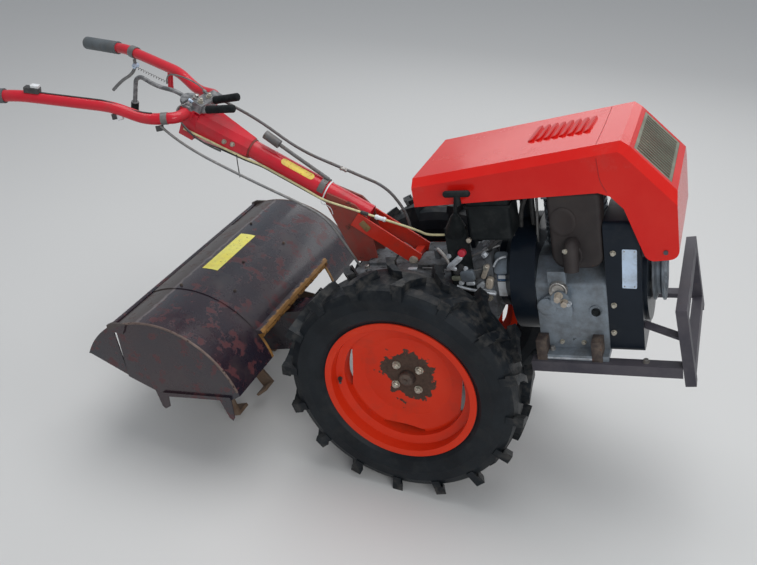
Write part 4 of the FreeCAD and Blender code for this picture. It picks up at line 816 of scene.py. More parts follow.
# %% Side bolts
SIDE_BOLTS = [
    # solid, forward, up, width, both sides
    ("fan_shroud", 522, 190, 10, True), ("fan_shroud", 518, 116, 10, True), ("fan_shroud", 527, 324, 10, True),
    ("crankcase", 394, 84, 9, True), ("crankcase", 446, 84, 9, True), ("gearbox", 214, 262, 12, True),
    ("gearbox", 176, 232, 12, True), ("gearbox", 214, 176, 12, True), ("gearbox", 20, 225, 12, True),
    ("gearbox", -60, 224, 12, True), ("gearbox", -150, 150, 12, True), ("gearbox", -160, 40, 12, True),
    ("gearbox", 120, -30, 12, True),
    ("exhaust_outlet", 430, 346, 9, False), ("tiller_case", -260, 40, 11, True), ("tiller_case", -260, -16, 11, True),
]
MODEL_WIDTH = 10
side_model = hex_bolt("side_bolt_model", MODEL_WIDTH * PER_MM, 0.0052)
count = 0
for node, forward, up, width, both in SIDE_BOLTS:
    for sign in ((-1, 1) if both else (-1,)):
        count += 1
        turn = math.radians(37 * count)
        place = stand(*on_side(node, forward, up, sign), (math.cos(turn), 0.01, math.sin(turn)))
        settle(copy_piece(side_model, "side_bolt_%02d" % count), "chassis", zinc,
               place @ Matrix.Scale(width / MODEL_WIDTH, 4))
print("side bolts", count)

# %% Top bolts
TOP_BOLTS = [
    # solid, forward, left, width
    ("gearbox", -120, -70, 12), ("gearbox", -120, 70, 12), ("gearbox", 120, -72, 12), ("gearbox", 120, 72, 12),
    ("crankcase", 483, -152, 11), ("crankcase", 483, 152, 11), ("crankcase", 372, -152, 11),
    ("crankcase", 372, 152, 11),
    ("tiller_hood", -632, -200, 7), ("tiller_hood", -632, 200, 7), ("tiller_hood", -540, -20, 7),
    ("tiller_hood", -500, -150, 7), ("tiller_hood", -500, 150, 7),
    ("rail_right", 590, -168, 12), ("rail_left", 590, 168, 12), ("tiller_case", -196, -38, 12),
    ("tiller_case", -196, 38, 12),
]
for node, forward, left, width in TOP_BOLTS:
    count += 1
    turn = math.radians(23 * count)
    place = stand(*on_top(node, forward, left), (math.cos(turn), math.sin(turn), 0.01))
    settle(copy_piece(side_model, "top_bolt_%02d" % count), "chassis", cast_brown if width < 8 else bare_steel,
           place @ Matrix.Scale(width / MODEL_WIDTH, 4))
bpy.data.objects.remove(side_model)
print("bolts in all", count)

# %% [markdown]
# ## Engine: filler, side cover, brackets and plate
# On the near side of the crankcase sit a round oil filler with three bolts by it, a flat round cover and a dark
# plug; rusty angle brackets hold the engine to the rails. All round covers come from one tool, because they differ
# only in size and in how deep their middle is sunk. The shroud carries a pale, blank plate with a rivet in each
# corner.

# %% Round covers
def round_cover(name, radius, tall, rim, sink):
    """A turned cap: a short cylinder whose top is inset and pushed, with a soft edge."""
    piece = start_round(name, 40, radius, tall)
    pick(piece, "EDGE", lambda edge: min(vert.co.z for vert in edge.verts) > tall * 0.9)
    bpy.ops.mesh.bevel(offset=min(tall, radius) * 0.18, segments=3, affect="EDGES")
    pick_top(piece, level=0.99)
    work_face(("inset", rim), ("push", sink), ("inset", rim * 0.3))
    return shaped(piece)


COVERS = [
    # name, solid, forward, up, radius, height, rim, sink, finish
    ("oil_filler", "crankcase", 401, 238, 0.0215, 0.014, 0.0050, -0.004, bare_steel),
    ("side_cover", "crankcase", 368, 186, 0.023, 0.004, 0.003, 0.0012, alloy_grey),
    ("drain_ring", "crankcase", 479, 172, 0.0150, 0.003, 0.0020, -0.001, alloy_grey),
    ("drain_plug", "crankcase", 480, 170, 0.0105, 0.006, 0.0035, -0.003, grip_black),
    ("breather_cap", "gearbox", 14, 226, 0.0150, 0.012, 0.004, -0.002, bare_steel),
    ("brace_pivot", "brace", 2, 251, 0.0125, 0.006, 0.003, 0.001, beige_metal),
]
for name, node, forward, up, radius, tall, rim, sink, finish in COVERS:
    settle(round_cover(name, radius, tall, rim, sink), "chassis", finish, stand(*on_side(node, forward, up)))
print("covers", len(COVERS))

# %% Bolts at the filler
FILLER_BOLTS = [
    # forward, up, width, height, finish
    (403, 228, 0.015, 0.020, beige_metal), (415, 210, 0.015, 0.010, beige_metal),
    (426, 209, 0.009, 0.010, steel_with_painted_sheen),
]
for number, (forward, up, width, high, finish) in enumerate(FILLER_BOLTS):
    settle(hex_bolt("filler_bolt_%d" % (number + 1), width, high), "chassis", finish,
           stand(*on_side("crankcase", forward, up)))
print("filler bolts", len(FILLER_BOLTS))

# %% Blank plate with four rivets
PLATE_LONG, PLATE_WIDE, RIVET_IN = 0.098, 0.032, 0.005
plate_place = stand(*on_side("fan_shroud", 561, 284), (0.04, 0, 1))
settle(plate("shroud_plate", PLATE_LONG, PLATE_WIDE, 0.0012, 0.003, 0.0012, -0.0004), "chassis", plate_pale,
       plate_place)
for number, (long, wide) in enumerate(((1, 1), (1, -1), (-1, 1), (-1, -1))):
    corner = Matrix.Translation((long * (PLATE_LONG / 2 - RIVET_IN), wide * (PLATE_WIDE / 2 - RIVET_IN), 0.0007))
    settle(round_cover("plate_rivet_%d" % (number + 1), 0.0016, 0.0012, 0.0005, 0.0003), "chassis", bare_steel,
           plate_place @ corner)
print("plate", PLATE_LONG, "by", PLATE_WIDE, "metres")

# %% Engine brackets
BRACKET_WIDE, BRACKET_TALL, BRACKET_FOOT, BRACKET_LOW = 0.025, 0.070, 0.008, 38


def angle_bracket(name, wide, tall, foot, thick):
    """An upright plate with a foot: the foot's face is extruded from the plate's lower edge."""
    piece = start_block(name, (wide, tall, thick), (0, tall / 2, thick / 2))
    bpy.ops.mesh.bisect(plane_co=(0, 0.005, 0), plane_no=(0, 1, 0))
    pick(piece, "FACE", lambda face: face.normal.z > 0.9 and face.calc_center_median().y < 0.005)
    work_face(("draw", foot))
    pick(piece, "EDGE", lambda edge: all(vert.co.y > tall * 0.9 for vert in edge.verts) or
         all(vert.co.z > foot * 0.9 for vert in edge.verts))
    bpy.ops.mesh.bevel(offset=min(thick * 0.35, 0.0018), segments=2, affect="EDGES")
    return shaped(piece)


for number, (forward, sign) in enumerate(((356, -1), (486, -1), (356, 1), (486, 1))):
    spot, facing = on_side("crankcase", forward, 110, sign)
    flange = on_side("crankcase", forward, 62, sign)[0]
    thick = (abs(flange[1] - spot[1]) + 3) * PER_MM
    place = stand((spot[0] - 5, spot[1], BRACKET_LOW), facing, (1, 0, 0))
    upright = (place.to_3x3() @ Vector((0, 1, 0))).z > 0
    flip = Matrix.Identity(4) if upright else Matrix.Rotation(math.pi, 4, "Z")
    bracket = angle_bracket("engine_bracket_%d" % (number + 1), BRACKET_WIDE, BRACKET_TALL, BRACKET_FOOT, thick)
    settle(bracket, "chassis", cast_brown, place @ flip)
settle(plate("base_strip", 0.112, 0.0045, 0.0016, 0.001), "chassis", steel_with_painted_sheen,
       stand(*on_side("crankcase", 416, 60), (1, 0, 0)))
print("four brackets and the flange's bright edge")

# %% [markdown]
# ## Silencer face and the gap behind the engine
# The silencer's pressed face has a raised oval above and a raised boss below. A bump map could draw them, but they
# catch the light from the side, so they are shaped. Behind it, hoses run up from the clutch housing to the tank under
# the bonnet.

# %% Pressed ovals
def pressed_oval(name, long, wide, tall):
    """A low round, stretched to an oval, whose top is raised and then sunk again inside its rim."""
    piece = start_round(name, 48, 0.5, tall)
    bpy.ops.transform.resize(value=(long, wide, 1))
    pick_top(piece)
    work_face(("inset", wide * 0.05), ("push", tall * 0.8), ("inset", wide * 0.10), ("inset", wide * 0.05),
              ("push", -tall * 0.7))
    return shaped(piece)


for name, size, spot in (("silencer_oval", (0.070, 0.058, 0.0016), (422, 402)),
                         ("silencer_boss", (0.056, 0.048, 0.0022), (437, 318))):
    settle(pressed_oval(name, *size), "chassis", silencer_brown, stand(*on_side("muffler", *spot), (0.05, 0, 1)), 60)
print("silencer pressed twice")

# %% Hoses
HOSES = [
    # name, finish, radius, points
    ("hose_black_1", cable_black, 5.5, ((300, -44, 348), (303, -48, 392), (322, -50, 430), (322, -50, 476))),
    ("hose_black_2", cable_black, 6.5, ((331, -40, 352), (332, -46, 400), (334, -46, 440), (338, -44, 480))),
    ("hose_pale", rod_grey, 3.5, ((342, -66, 318), (346, -72, 350), (348, -64, 400), (350, -58, 478))),
    ("breather_hose", cable_black, 5.0, ((212, -60, 284), (232, -84, 318), (262, -88, 340), (288, -70, 340))),
]
for row in HOSES:
    rod(*row)
print("hoses", len(HOSES))

# %% [markdown]
# ## Gearbox top: cover, links and levers
# The casting between the wheels is crowded: cover plates, bolts, pale levers and links, rods, red and beige knobs,
# and tags on the clutch housing. They are small, but they break up the flat top, which no clean casting would. Most
# are the same thing, a plate with rounded corners, so one tool and short tables of sizes and places make those.

# %% Cover plates and levers
BOXES = [
    # name, finish, length, width, thickness, corner, spot, outward, along
    ("shift_cover", gear_grey, 0.096, 0.078, 0.012, 0.012, "top", (70, -34), None),
    ("rear_cover", gear_grey, 0.070, 0.110, 0.008, 0.010, "top", (-90, 0), None),
    ("selector_arm", beige_metal, 0.042, 0.012, 0.006, 0.005, "side", (212, 252), (0.42, 0, 0.90)),
    ("selector_arm_low", steel_with_painted_sheen, 0.050, 0.012, 0.006, 0.005, "side", (208, 196), (0.95, 0, -0.28)),
    ("link_plate", steel_with_painted_sheen, 0.026, 0.014, 0.005, 0.006, "side", (196, 212), (0.80, 0, 0.60)),
    ("cast_lug", beige_metal, 0.030, 0.018, 0.012, 0.007, "side", (220, 222), (0.24, 0, 0.97)),
    ("top_tab", steel_with_painted_sheen, 0.024, 0.013, 0.004, 0.003, "top", (12, -78), None),
]
for name, finish, long, wide, thick, corner, where, spot, along in BOXES:
    place, facing = on_top("gearbox", *spot) if where == "top" else on_side("gearbox", *spot)
    settle(pressed_plate(name, long, wide, thick, corner), "chassis", finish,
           stand(place, facing, along or (1, 0.02, 0)), 40)
print("plates on the gearbox", len(BOXES))

# %% Bits round the lever's plate
LEVER_BITS = [
    # name, finish, length, width, thickness, corner, solid, forward, up, along
    ("pale_arm", steel_with_painted_sheen, 0.050, 0.014, 0.009, 0.006, "clutch_lever", 145, 288, (0.76, 0, 0.65)),
    ("arm_fork", steel_with_painted_sheen, 0.026, 0.010, 0.006, 0.004, "clutch_lever", 134, 270, (0.95, 0, -0.20)),
    # a black plate laid beside the pale arm: painted shadow under the arm
    ("arm_painted_shadow", black_plastic, 0.034, 0.016, 0.005, 0.006, "clutch_lever", 150, 266, (0.60, 0, 0.80)),
    ("olive_tab", grille_green, 0.030, 0.012, 0.005, 0.004, "clutch_lever", 144, 242, (1, 0, 0.06)),
    ("cast_pad", alloy_grey, 0.036, 0.030, 0.008, 0.008, "clutch_lever", 172, 250, (1, 0, 0.15)),
    ("pale_tab", steel_with_painted_sheen, 0.022, 0.009, 0.006, 0.003, "clutch_lever", 176, 228, (1, 0, 0.02)),
]
for name, finish, long, wide, thick, corner, node, forward, up, along in LEVER_BITS:
    settle(pressed_plate(name, long, wide, thick, corner), "chassis", finish,
           stand(*on_side(node, forward, up), along), 40)
print("bits round the lever", len(LEVER_BITS))

# %% Bolts round the lever, and the clutch housing's saddle
CLUTTER_BOLTS = [
    # solid, from where, forward, the other coordinate, width
    ("gearbox", "top", 186, 20, 16), ("gearbox", "top", 206, -50, 13), ("gearbox", "top", 214, -84, 14),
    ("clutch_lever", "side", 152, 229, 11), ("clutch_lever", "side", 168, 268, 9),
    ("clutch_lever", "side", 130, 302, 9),
]
for number, (node, way, forward, other, width) in enumerate(CLUTTER_BOLTS):
    from_above = way == "top"
    ray, along = (on_top, (1, 0.3, 0.1)) if from_above else (on_side, (0.3, 0.02, 1))
    settle(hex_bolt("clutter_bolt_%d" % (number + 1), width * PER_MM, width * 0.5 * PER_MM), "chassis", steel_with_painted_sheen,
           stand(*ray(node, forward, other), along))
SADDLE_SUNK = 4
spot, facing = on_side("clutch_bell", 250, 262)
settle(plate("bell_casting", 0.036, 0.056, 0.014, 0.010, 0.005, 0.002), "chassis", alloy_grey,
       stand(Vector(spot) - Vector(facing) * SADDLE_SUNK, facing, (1, 0, 0)), 40)
print("bolts round the lever", len(CLUTTER_BOLTS))

# %% Rods and links
RODS = [
    # name, finish, radius, points
    ("selector_rod", steel_with_painted_sheen, 4.2, ((140, -117, 220), (186, -117, 206), (230, -102, 191))),
    ("shift_link", steel_with_painted_sheen, 4.5, ((118, -66, 262), (136, -86, 270), (158, -112, 296))),
    ("bell_ridge", steel_with_painted_sheen, 3.0, ((232, -92, 262), (240, -90, 278), (252, -84, 284), (264, -82, 284))),
    ("pivot_stub", gear_grey, 9.0, ((70, -34, 252), (70, -34, 268), (72, -36, 284))),
    ("lever_arm", bare_steel, 5.0, ((72, -36, 282), (98, -62, 280), (122, -92, 266))),
    ("drag_wire", rod_grey, 2.0, ((40, -78, 250), (96, -100, 262), (150, -110, 250), (206, -104, 262))),
    ("oil_pipe", rod_grey, 3.0, ((150, -60, 262), (180, -78, 286), (214, -76, 300), (246, -62, 306))),
    ("near_rod", rod_grey, 3.5, ((-600, -120, 686), (-562, -110, 628), (-391, -95, 516), (-243, -80, 426),
                                 (-202, -75, 388), (-178, -68, 330), (-150, -64, 262), (-140, -64, 240))),
]
for row in RODS:
    rod(*row)
print("rods", len(RODS))

# %% Knobs
KNOBS = [
    # name, finish, radius, height, spot, outward
    ("red_knob", knob_red, 0.0095, 0.013, (167, -114, 313), (0, -1, 0.2)),
    ("red_knob_far", knob_red, 0.0085, 0.012, (56, -4, 248), (0.1, -1, 0.6)),
    ("orange_knob", beige_metal, 0.0062, 0.009, (188, -112, 346), (0, -1, 0.1)),
]
for name, finish, radius, tall, spot, facing in KNOBS:
    settle(round_cover(name, radius, tall, radius * 0.3, 0.001), "chassis", finish, stand(spot, facing))
print("knobs", len(KNOBS))

# %% Tags on the clutch housing
TAGS = [
    # name, finish, forward, up, width, height, raised by
    ("blue_tag", tag_blue, 254, 234, 0.032, 0.024, 0.0),
    ("label_on_blue", plastic_white, 253, 232, 0.026, 0.009, 1.4),
    ("white_tag", plastic_white, 249, 200, 0.023, 0.042, 0.0),
]
for name, finish, forward, up, wide, tall, raised in TAGS:
    spot, facing = on_side("clutch_bell", forward, up)
    settle(plate(name, wide, tall, 0.0012, 0.002, 0.0015, 0.0003), "chassis", finish,
           stand(Vector(spot) + Vector(facing) * raised, facing, (1, 0, 0)))
print("blank tags", len(TAGS))

# %% [markdown]
# ## Column: label, tie, sleeve seam and clips
# The long yellow label on the column is a blank worn strip with round ends that follows the tube. A flat plate would
# stand off the tube at both sides, so it starts as a grid whose end rows are drawn in, is wrapped round the tube's
# axis, and gets its thickness from a Solidify modifier. The white tie holds the cream cable against the tube, so its
# ring bulges where the cable passes.

# %% A strip wrapped round a tube
COLUMN_FRAME = stand(on_column(0, 0, 0), COLUMN_UP, COLUMN_BACK)
TUBE = 0.025
LABEL_THICK = 0.0005


def wrapped_strip(name, long, wide, centre, around, radius, round_ends=True):
    """A strip with round or square ends, wrapped on a tube whose axis is X; around is the angle from its top."""
    piece = start_solid(name, "grid", x_subdivisions=40, y_subdivisions=12, size=1)
    half, side = long / 2, wide / 2
    for vert in piece.data.vertices:
        x, y = vert.co.x * long, vert.co.y * wide
        over = max(0.0, abs(x) - (half - side)) / side
        if round_ends:
            y *= math.sqrt(max(0.0, 1 - over * over)) * 0.97 + 0.03
        angle = y / radius + around
        vert.co = (centre + x, radius * math.sin(angle), radius * math.cos(angle))
    return thicken(piece, LABEL_THICK)


label = wrapped_strip("column_label", 0.100, 0.019, 0.227, math.radians(31), TUBE + 0.0001)
settle(label, "chassis", label_yellow, COLUMN_FRAME, 50)
print("label", [round(side, 3) for side in label.dimensions])

# %% Straps, tie and seam
def ring_strap(name, at, wide, radius, thick, bulge=0.0, bulge_at=0.0):
    """A strap round the tube: an open cylinder wall, pushed out where it passes over the cable, and thickened."""
    piece = start_solid(name, "cylinder", vertices=72, radius=radius, depth=wide, end_fill_type="NOTHING",
                        rotation=(0, math.pi / 2, 0), location=(at, 0, 0))
    for vert in piece.data.vertices:
        angle = math.atan2(vert.co.y, vert.co.z)
        away = math.atan2(math.sin(angle - bulge_at), math.cos(angle - bulge_at))
        reach = 1 + bulge / radius * math.exp(-(away / 0.30) ** 2)
        vert.co.y *= reach
        vert.co.z *= reach
    return thicken(piece, thick)


CABLE_SIDE = math.atan2(0.8, -0.6)
STRAPS = [
    # name, finish, place along the tube, width, thickness, bulge
    ("white_tie", plastic_white, 0.132, 0.0035, 0.0012, 0.0068),
    ("sleeve_seam", support_brown, 0.3675, 0.0032, 0.0022, 0.0),
]
for name, finish, at, wide, thick, bulge in STRAPS:
    settle(ring_strap(name, at, wide, TUBE + 0.0004, thick, bulge, CABLE_SIDE), "chassis", finish, COLUMN_FRAME, 50)
rod("tie_end", plastic_white, 1.1,
    (on_column(132, -16, -29), on_column(136, -28, -32), (-205, -33, 408), (-207, -33, 386)))
rod("hanging_wire", cable_black, 1.4,
    (on_column(392, -17, -38), (-449, -43, 560), (-452, -44, 534), (-455, -44, 506)))
print("straps on the column", len(STRAPS))

# %% Clips along the cream cable
def collar(name, radius, long, waist):
    """A connector: a cylinder with rings of edges, narrowed between its two ends."""
    piece = start_solid(name, "cylinder", vertices=24, radius=radius, depth=long)
    bpy.ops.object.mode_set(mode="EDIT")
    for level in (-0.30, -0.22, 0.22, 0.30):
        bpy.ops.mesh.select_all(action="SELECT")
        bpy.ops.mesh.bisect(plane_co=(0, 0, level * long), plane_no=(0, 0, 1))
    shaped(piece)
    for vert in piece.data.vertices:
        in_waist, at_end = abs(vert.co.z) < long * 0.25, abs(vert.co.z) > long * 0.45
        narrower = waist if in_waist else 0.8 if at_end else 1.0
        vert.co.x *= narrower
        vert.co.y *= narrower
    return piece


CABLE_RUN = Vector((250, -10, -85)).normalized()
CLIPS = [
    # name, finish, radius, length, narrowing, spot, axis
    ("cable_connector", plastic_white, 0.0068, 0.030, 0.8, (-67, -42.3, 375.5), CABLE_RUN),
    ("cable_sleeve", cable_black, 0.0052, 0.022, 0.9, (-110, -40.6, 390.1), CABLE_RUN),
    ("rod_joint", bare_steel, 0.0066, 0.020, 0.8, (-190, 50, 480), Vector((-233, 0, 116)).normalized()),
]
for name, finish, radius, long, waist, spot, axis in CLIPS:
    settle(collar(name, radius, long, waist), "chassis", finish, stand(spot, axis, (0, 1, 0.1)), 40)
settle(plate("brace_clip", 0.030, 0.018, 0.003, 0.003, 0.003, 0.0006), "chassis", bracket_rust,
       stand(*on_side("brace", -118, 352), (0.6, 0, -0.8)))
print("clips", len(CLIPS))

# %% Sleeve bolts
for number, spot in enumerate(((-477, 607), (-456, 597))):
    settle(hex_bolt("sleeve_bolt_%d" % (number + 1), 0.010, 0.006, stud=0.003), "chassis", zinc,
           stand(*on_side("column_sleeve", *spot)))
print("two sleeve bolts")

# %% [markdown]
# ## Tiller: the strip on its hood, and its rusty edges
# The hood carries a wide, blank yellow strip that follows its round sheet: the column's strip tool does it, about
# the hood's own axis. The front lip is rolled, rough and rusty. A smooth rod would look new, so the points that it is
# swept through wander a little, up and down. The side cheeks' rims have lost their paint, and a thin rod marks each.

# %% Strip on the tiller's hood
HOOD_AXIS = stand(HOOD_CENTRE, (0, 0, 1), (0, 1, 0))
HOOD_RADIUS = 0.256
strip = wrapped_strip("hood_strip", 0.226, 0.050, 0.016, math.radians(-9), HOOD_RADIUS + 0.0002, round_ends=False)
settle(strip, "chassis", strip_yellow, HOOD_AXIS, 50)
print("strip on the hood", [round(side, 3) for side in strip.dimensions])

# %% Rusty lip and worn rims
LIP_STEPS, LIP_LONG = 44, 422
lip = []
for step in range(LIP_STEPS + 1):
    left = LIP_LONG * (step / LIP_STEPS - 0.5)
    uneven = 1.6 * math.sin(step * 1.9) + 1.2 * math.sin(step * 0.71)
    lip.append((-407 + 0.4 * uneven, left, 110 + uneven))
rod("hood_lip", lip_rust, 7.0, lip)
CHEEK_RADIUS, CHEEK_OUT = 252, 397
for side, sign in SIDES:
    edge = [(HOOD_CENTRE[0] + CHEEK_RADIUS * math.cos(math.radians(angle)), sign * CHEEK_OUT,
             CHEEK_RADIUS * math.sin(math.radians(angle))) for angle in range(12, 106, 6)]
    rod("cheek_rim_" + side, edge_brown, 3.2, edge)
print("rusty lip of", LIP_STEPS, "steps and two rims")

# %% [markdown]
# ## Handlebar head: rubber sleeves, adjusters and the dial's bolt
# The two levers and the hook end in black rubber sleeves. Round the head's dial sit cable adjusters and small clamps,
# grey and worn. A sleeve is a slightly larger cylinder with a rounded end, slid over the lever. Its grooves could be
# a pattern, but they show on its outline, so rings of edges are cut in and drawn inwards.

# %% Rubber sleeves
def rubber_sleeve(name, radius, long, grooves):
    """A grip from the origin up Z: rings of edges are bisected in and drawn inwards, and its far end is rounded."""
    piece = start_round(name, 28, radius, long)
    pick(piece, "EDGE", lambda edge: min(vert.co.z for vert in edge.verts) > long * 0.9)
    bpy.ops.mesh.bevel(offset=radius * 0.45, segments=4, affect="EDGES")
    groove_at = [0.18 + 0.6 * groove / max(1, grooves - 1) for groove in range(grooves)]
    for share in groove_at:
        for step in (-0.018, 0.0, 0.018):
            bpy.ops.mesh.select_all(action="SELECT")
            bpy.ops.mesh.bisect(plane_co=(0, 0, long * (share + step)), plane_no=(0, 0, 1))
    shaped(piece)
    for vert in piece.data.vertices:
        if any(abs(vert.co.z / long - share) < 0.004 for share in groove_at):
            vert.co.x *= 0.95
            vert.co.y *= 0.95
    return piece


SLEEVES = [
    # name, radius, start and end as along, above, left; grooves
    ("lever_sleeve_far", 10.6, (HEAD - 8, 71, 8), (HEAD - 71, 116, 8), 5),
    ("lever_sleeve_near", 10.6, (HEAD - 14, 60.5, -35), (HEAD - 86, 103.5, -35), 5),
    ("hook_sleeve", 10.9, (HEAD + 214.2, -53, 0), (HEAD + 207, -96, 0), 4),
]
for name, radius, start, end, grooves in SLEEVES:
    low, high = Vector(on_column(*start)), Vector(on_column(*end))
    sleeve = rubber_sleeve(name, radius * PER_MM, (high - low).length * PER_MM, grooves)
    settle(sleeve, "chassis", grip_black, stand(low, high - low, (0, 1, 0.1)), 40)
print("rubber sleeves", len(SLEEVES))

# %% Adjusters and clamps on the head
HEAD_BITS = [
    # name, finish, kind, size, along, above, left, outward as (along, above, left)
    ("dial_bolt", bare_steel, "nut", 0.019, HEAD + 41, 45.2, 0, (0, 1, 0)),
    ("dial_clamp", rod_grey, "plate", 0.040, HEAD + 20, 45.4, 22, (0, 1, 0)),
    ("lever_bolt_far", zinc, "nut", 0.012, HEAD + 10, 70.2, 8, (0, 1, 0)),
    ("lever_bolt_near", zinc, "nut", 0.012, HEAD + 10, 70.2, -35, (0, 1, 0)),
    ("adjuster_1", rod_grey, "collar", 0.0055, HEAD + 30, 57, 40, (1, 0.3, 0.1)),
    ("adjuster_2", plate_pale, "collar", 0.0050, HEAD + 32, 55, -28, (1, 0.2, -0.2)),
    ("adjuster_3", rod_grey, "collar", 0.0060, HEAD + 24, 54, -44, (1, 0.1, -0.3)),
]
for name, finish, kind, across, along, above, left, outward in HEAD_BITS:
    facing = Vector(COLUMN_BACK) * outward[0] + Vector(COLUMN_UP) * outward[1] + Vector((0, 1, 0)) * outward[2]
    if kind == "nut":
        piece = hex_bolt(name, across, across * 0.5, stud=across * 0.4)
    elif kind == "plate":
        piece = plate(name, across, across * 0.55, 0.006, 0.006, 0.003, 0.0012)
    else:
        piece = collar(name, across, across * 6, 0.7)
    settle(piece, "chassis", finish, stand(on_column(along, above, left), facing, (0.1, 1, 0.05)), 40)
print("pieces on the head", len(HEAD_BITS))

# %% Cables at the head
HEAD_CABLES = [
    # name, finish, radius, points
    ("head_cable_1", rod_grey, 2.2, (on_column(HEAD + 44, 60, 44), on_column(HEAD + 66, 66, 52), (-690, 128, 760),
                                     (-745, 150, 756), (-762, 166, 728))),
    ("head_cable_2", cable_black, 2.4, (on_column(HEAD + 46, 58, -30), on_column(HEAD + 62, 40, -60),
                                        on_column(HEAD + 30, 0, -70), on_column(HEAD - 40, -22, -62),
                                        on_column(HEAD - 90, -20, -55))),
    ("head_cable_3", rod_grey, 1.8, (on_column(HEAD + 38, 55, -48), on_column(HEAD + 56, 52, -74),
                                     on_column(HEAD + 36, 20, -86), on_column(HEAD + 2, -8, -64))),
]
for row in HEAD_CABLES:
    rod(*row)
print("cables at the head", len(HEAD_CABLES))

# %% [markdown]
# ## Handles: switch, clips and the small hand lever
# The near handle carries a little switch box, its wire along the top of the bar and three clips under the bend.
# Under the far handle hangs a small bent hand lever with a pale pivot, and a spring runs from it to the red stub. The
# bars slope, so the switch box, its wire and the lever's clamp are placed by a share of the bar's length: measured
# points could miss the bar.

# %% Switch box and its wire
BAR = 15.0
BAR_START, BAR_END = (-701, 158.3, 757.6), (-916, 230.3, 826.6)


def along_bar(share, sign):
    """The axis of a handle's long run at a share of it, and the way the run goes."""
    start, end = (Vector((forward, sign * left, up)) for forward, left, up in (BAR_START, BAR_END))
    return start + (end - start) * share, (end - start).normalized()


axis, run = along_bar(0.86, -1)
bar_up = run.cross(Vector((0, -1, 0))).normalized()
bar_up = bar_up if bar_up.z > 0 else -bar_up
settle(plate("switch_box", 0.040, 0.022, 0.013, 0.004, 0.0025, 0.0015), "chassis", cable_black,
       stand(axis + bar_up * (BAR - 1.5), bar_up, run), 40)
settle(plate("switch_rocker", 0.022, 0.017, 0.006, 0.004, 0.002, 0.0008), "chassis", plastic_white,
       stand(axis + bar_up * (BAR + 12.5) + run * -8, bar_up, run), 40)
beside_bar = bar_up * (BAR + 1.2) + Vector((0, -3, 0))
switch_wire = [along_bar(share, -1)[0] + beside_bar for share in (0.80, 0.6, 0.4, 0.2, 0.04)]
rod("switch_wire", cable_black, 1.6, switch_wire + [(-650, -142, 735), (-612, -122, 722)])
print("switch wire through", len(switch_wire) + 2, "points")

# %% Clips under the bend
BAR_CLIPS = [
    # name, finish, spot, length
    ("clip_white", plastic_white, (-690, -153, 735), 0.016), ("clip_black", cable_black, (-702, -158, 739), 0.014),
    ("clip_loop", cable_black, (-606, -117, 687), 0.020),
]
for name, finish, spot, long in BAR_CLIPS:
    settle(plate(name, long, 0.012, 0.014, 0.003, 0.002, 0.001), "chassis", finish,
           stand(spot, (0.1, -0.2, -1), (-0.95, -0.3, 0.1)), 40)
print("clips under the bar", len(BAR_CLIPS))

# %% Worn band and hand lever
band = start_solid("handle_band", "cylinder", vertices=48, radius=0.0153, depth=0.017, end_fill_type="NOTHING")
settle(thicken(band, 0.0006), "chassis", rod_grey, stand((-588, -110, 701.8), (-74, -28, 10), (0, 1, 0.1)), 50)
HAND_LEVER = [(-897, 222, 797), (-899, 222, 776), (-925, 222, 752), (-970, 222, 738), (-1012, 222, 712)]
rod("hand_lever", rod_grey, 5.0, HAND_LEVER)
clamp_spot, clamp_run = along_bar(0.87, 1)
settle(ring_strap("lever_clamp", 0.0, 0.022, 0.0156, 0.0025), "chassis", rod_grey,
       stand(clamp_spot, bar_up, clamp_run), 50)
settle(collar("lever_pivot", 0.0085, 0.020, 0.9), "chassis", plate_pale,
       stand((-899, 222, 778), (0, 1, 0), (1, 0, 0)), 40)
print("hand lever", len(HAND_LEVER), "points")

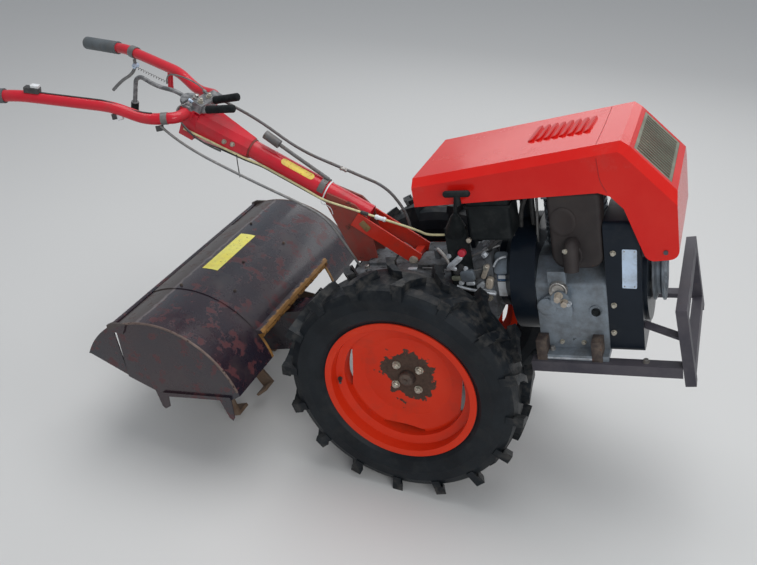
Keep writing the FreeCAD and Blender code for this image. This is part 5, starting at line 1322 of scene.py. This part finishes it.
# %% Spring to the stub
SPRING_START, SPRING_END = Vector((-899, 214, 777)), Vector((-757, 172, 724))
TURNS, STEPS, COIL_RADIUS, WIRE_RADIUS = 14, 10, 3.2, 0.8
reach = SPRING_END - SPRING_START
across = reach.cross(Vector((0, 0, 1))).normalized()
above = across.cross(reach).normalized()
coil = []
for step in range(TURNS * STEPS + 1):
    angle = 2 * math.pi * step / STEPS
    round_it = (across * math.cos(angle) + above * math.sin(angle)) * COIL_RADIUS
    coil.append(SPRING_START + reach * (step / (TURNS * STEPS)) + round_it)
rod("lever_spring", rod_grey, WIRE_RADIUS, coil)
print("spring", TURNS, "turns over", round(reach.length), "mm")

# %% [markdown]
# ## Bonnet: louvres and the seam
# Eight pressed louvres run across the top of the bonnet near its front. One is modelled as a low wedge with round
# corners and copied along the sheet: an array modifier would lay them on a flat line, and the sheet isn't flat. Where
# the nose panel meets the side, a thin pressed seam runs over the top and down.

# %% Louvres
LOUVRES, LOUVRE_LONG, LOUVRE_WIDE, LOUVRE_TALL, LOUVRE_STEP = 8, 0.098, 0.0145, 0.0050, 18.4


def louvre(name):
    """A low block with round corners and a raised middle, whose rear edge is then pressed down."""
    piece = start_block(name, (LOUVRE_WIDE, LOUVRE_LONG, LOUVRE_TALL), (0, 0, LOUVRE_TALL / 2))
    pick_upright_edges(piece, 0.004)
    bpy.ops.mesh.bevel(offset=0.005, segments=4, affect="EDGES")
    pick_top(piece)
    work_face(("inset", 0.0022))
    pick(piece, "FACE", lambda face: face.normal.z > 0.9 and abs(face.calc_center_median().x) < 0.002)
    work_face(("draw", 0.0006))
    shaped(piece)
    for vert in piece.data.vertices:
        if vert.co.z > 0.003:
            vert.co.z -= 0.0036 * (0.5 - vert.co.x / LOUVRE_WIDE)
    return piece


louvre_model = louvre("louvre_model")
for number in range(LOUVRES):
    settle(copy_piece(louvre_model, "louvre_%d" % (number + 1)), "bonnet_lid", bonnet_red,
           stand(*on_top("bonnet", 342 + number * LOUVRE_STEP, 24 - number), (0.99, -0.06, 0.14)), 40)
bpy.data.objects.remove(louvre_model)
print("louvres", LOUVRES)

# %% Seams
SEAM_RADIUS = 0.9
SIDE_SEAM = ((506, 552), (508, 530), (510, 505), (516, 488), (524, 474))
top_seam = [on_top("bonnet", 506 - abs(left) * 0.01, left)[0] for left in (128, 60, 0, -60, -128)]
rod("seam_top", seam_red, SEAM_RADIUS, top_seam, "bonnet_lid")
for side, sign in SIDES:
    rod("seam_" + side, seam_red, SEAM_RADIUS, [on_side("bonnet", *spot, sign)[0] for spot in SIDE_SEAM], "bonnet_lid")
print("three seams")
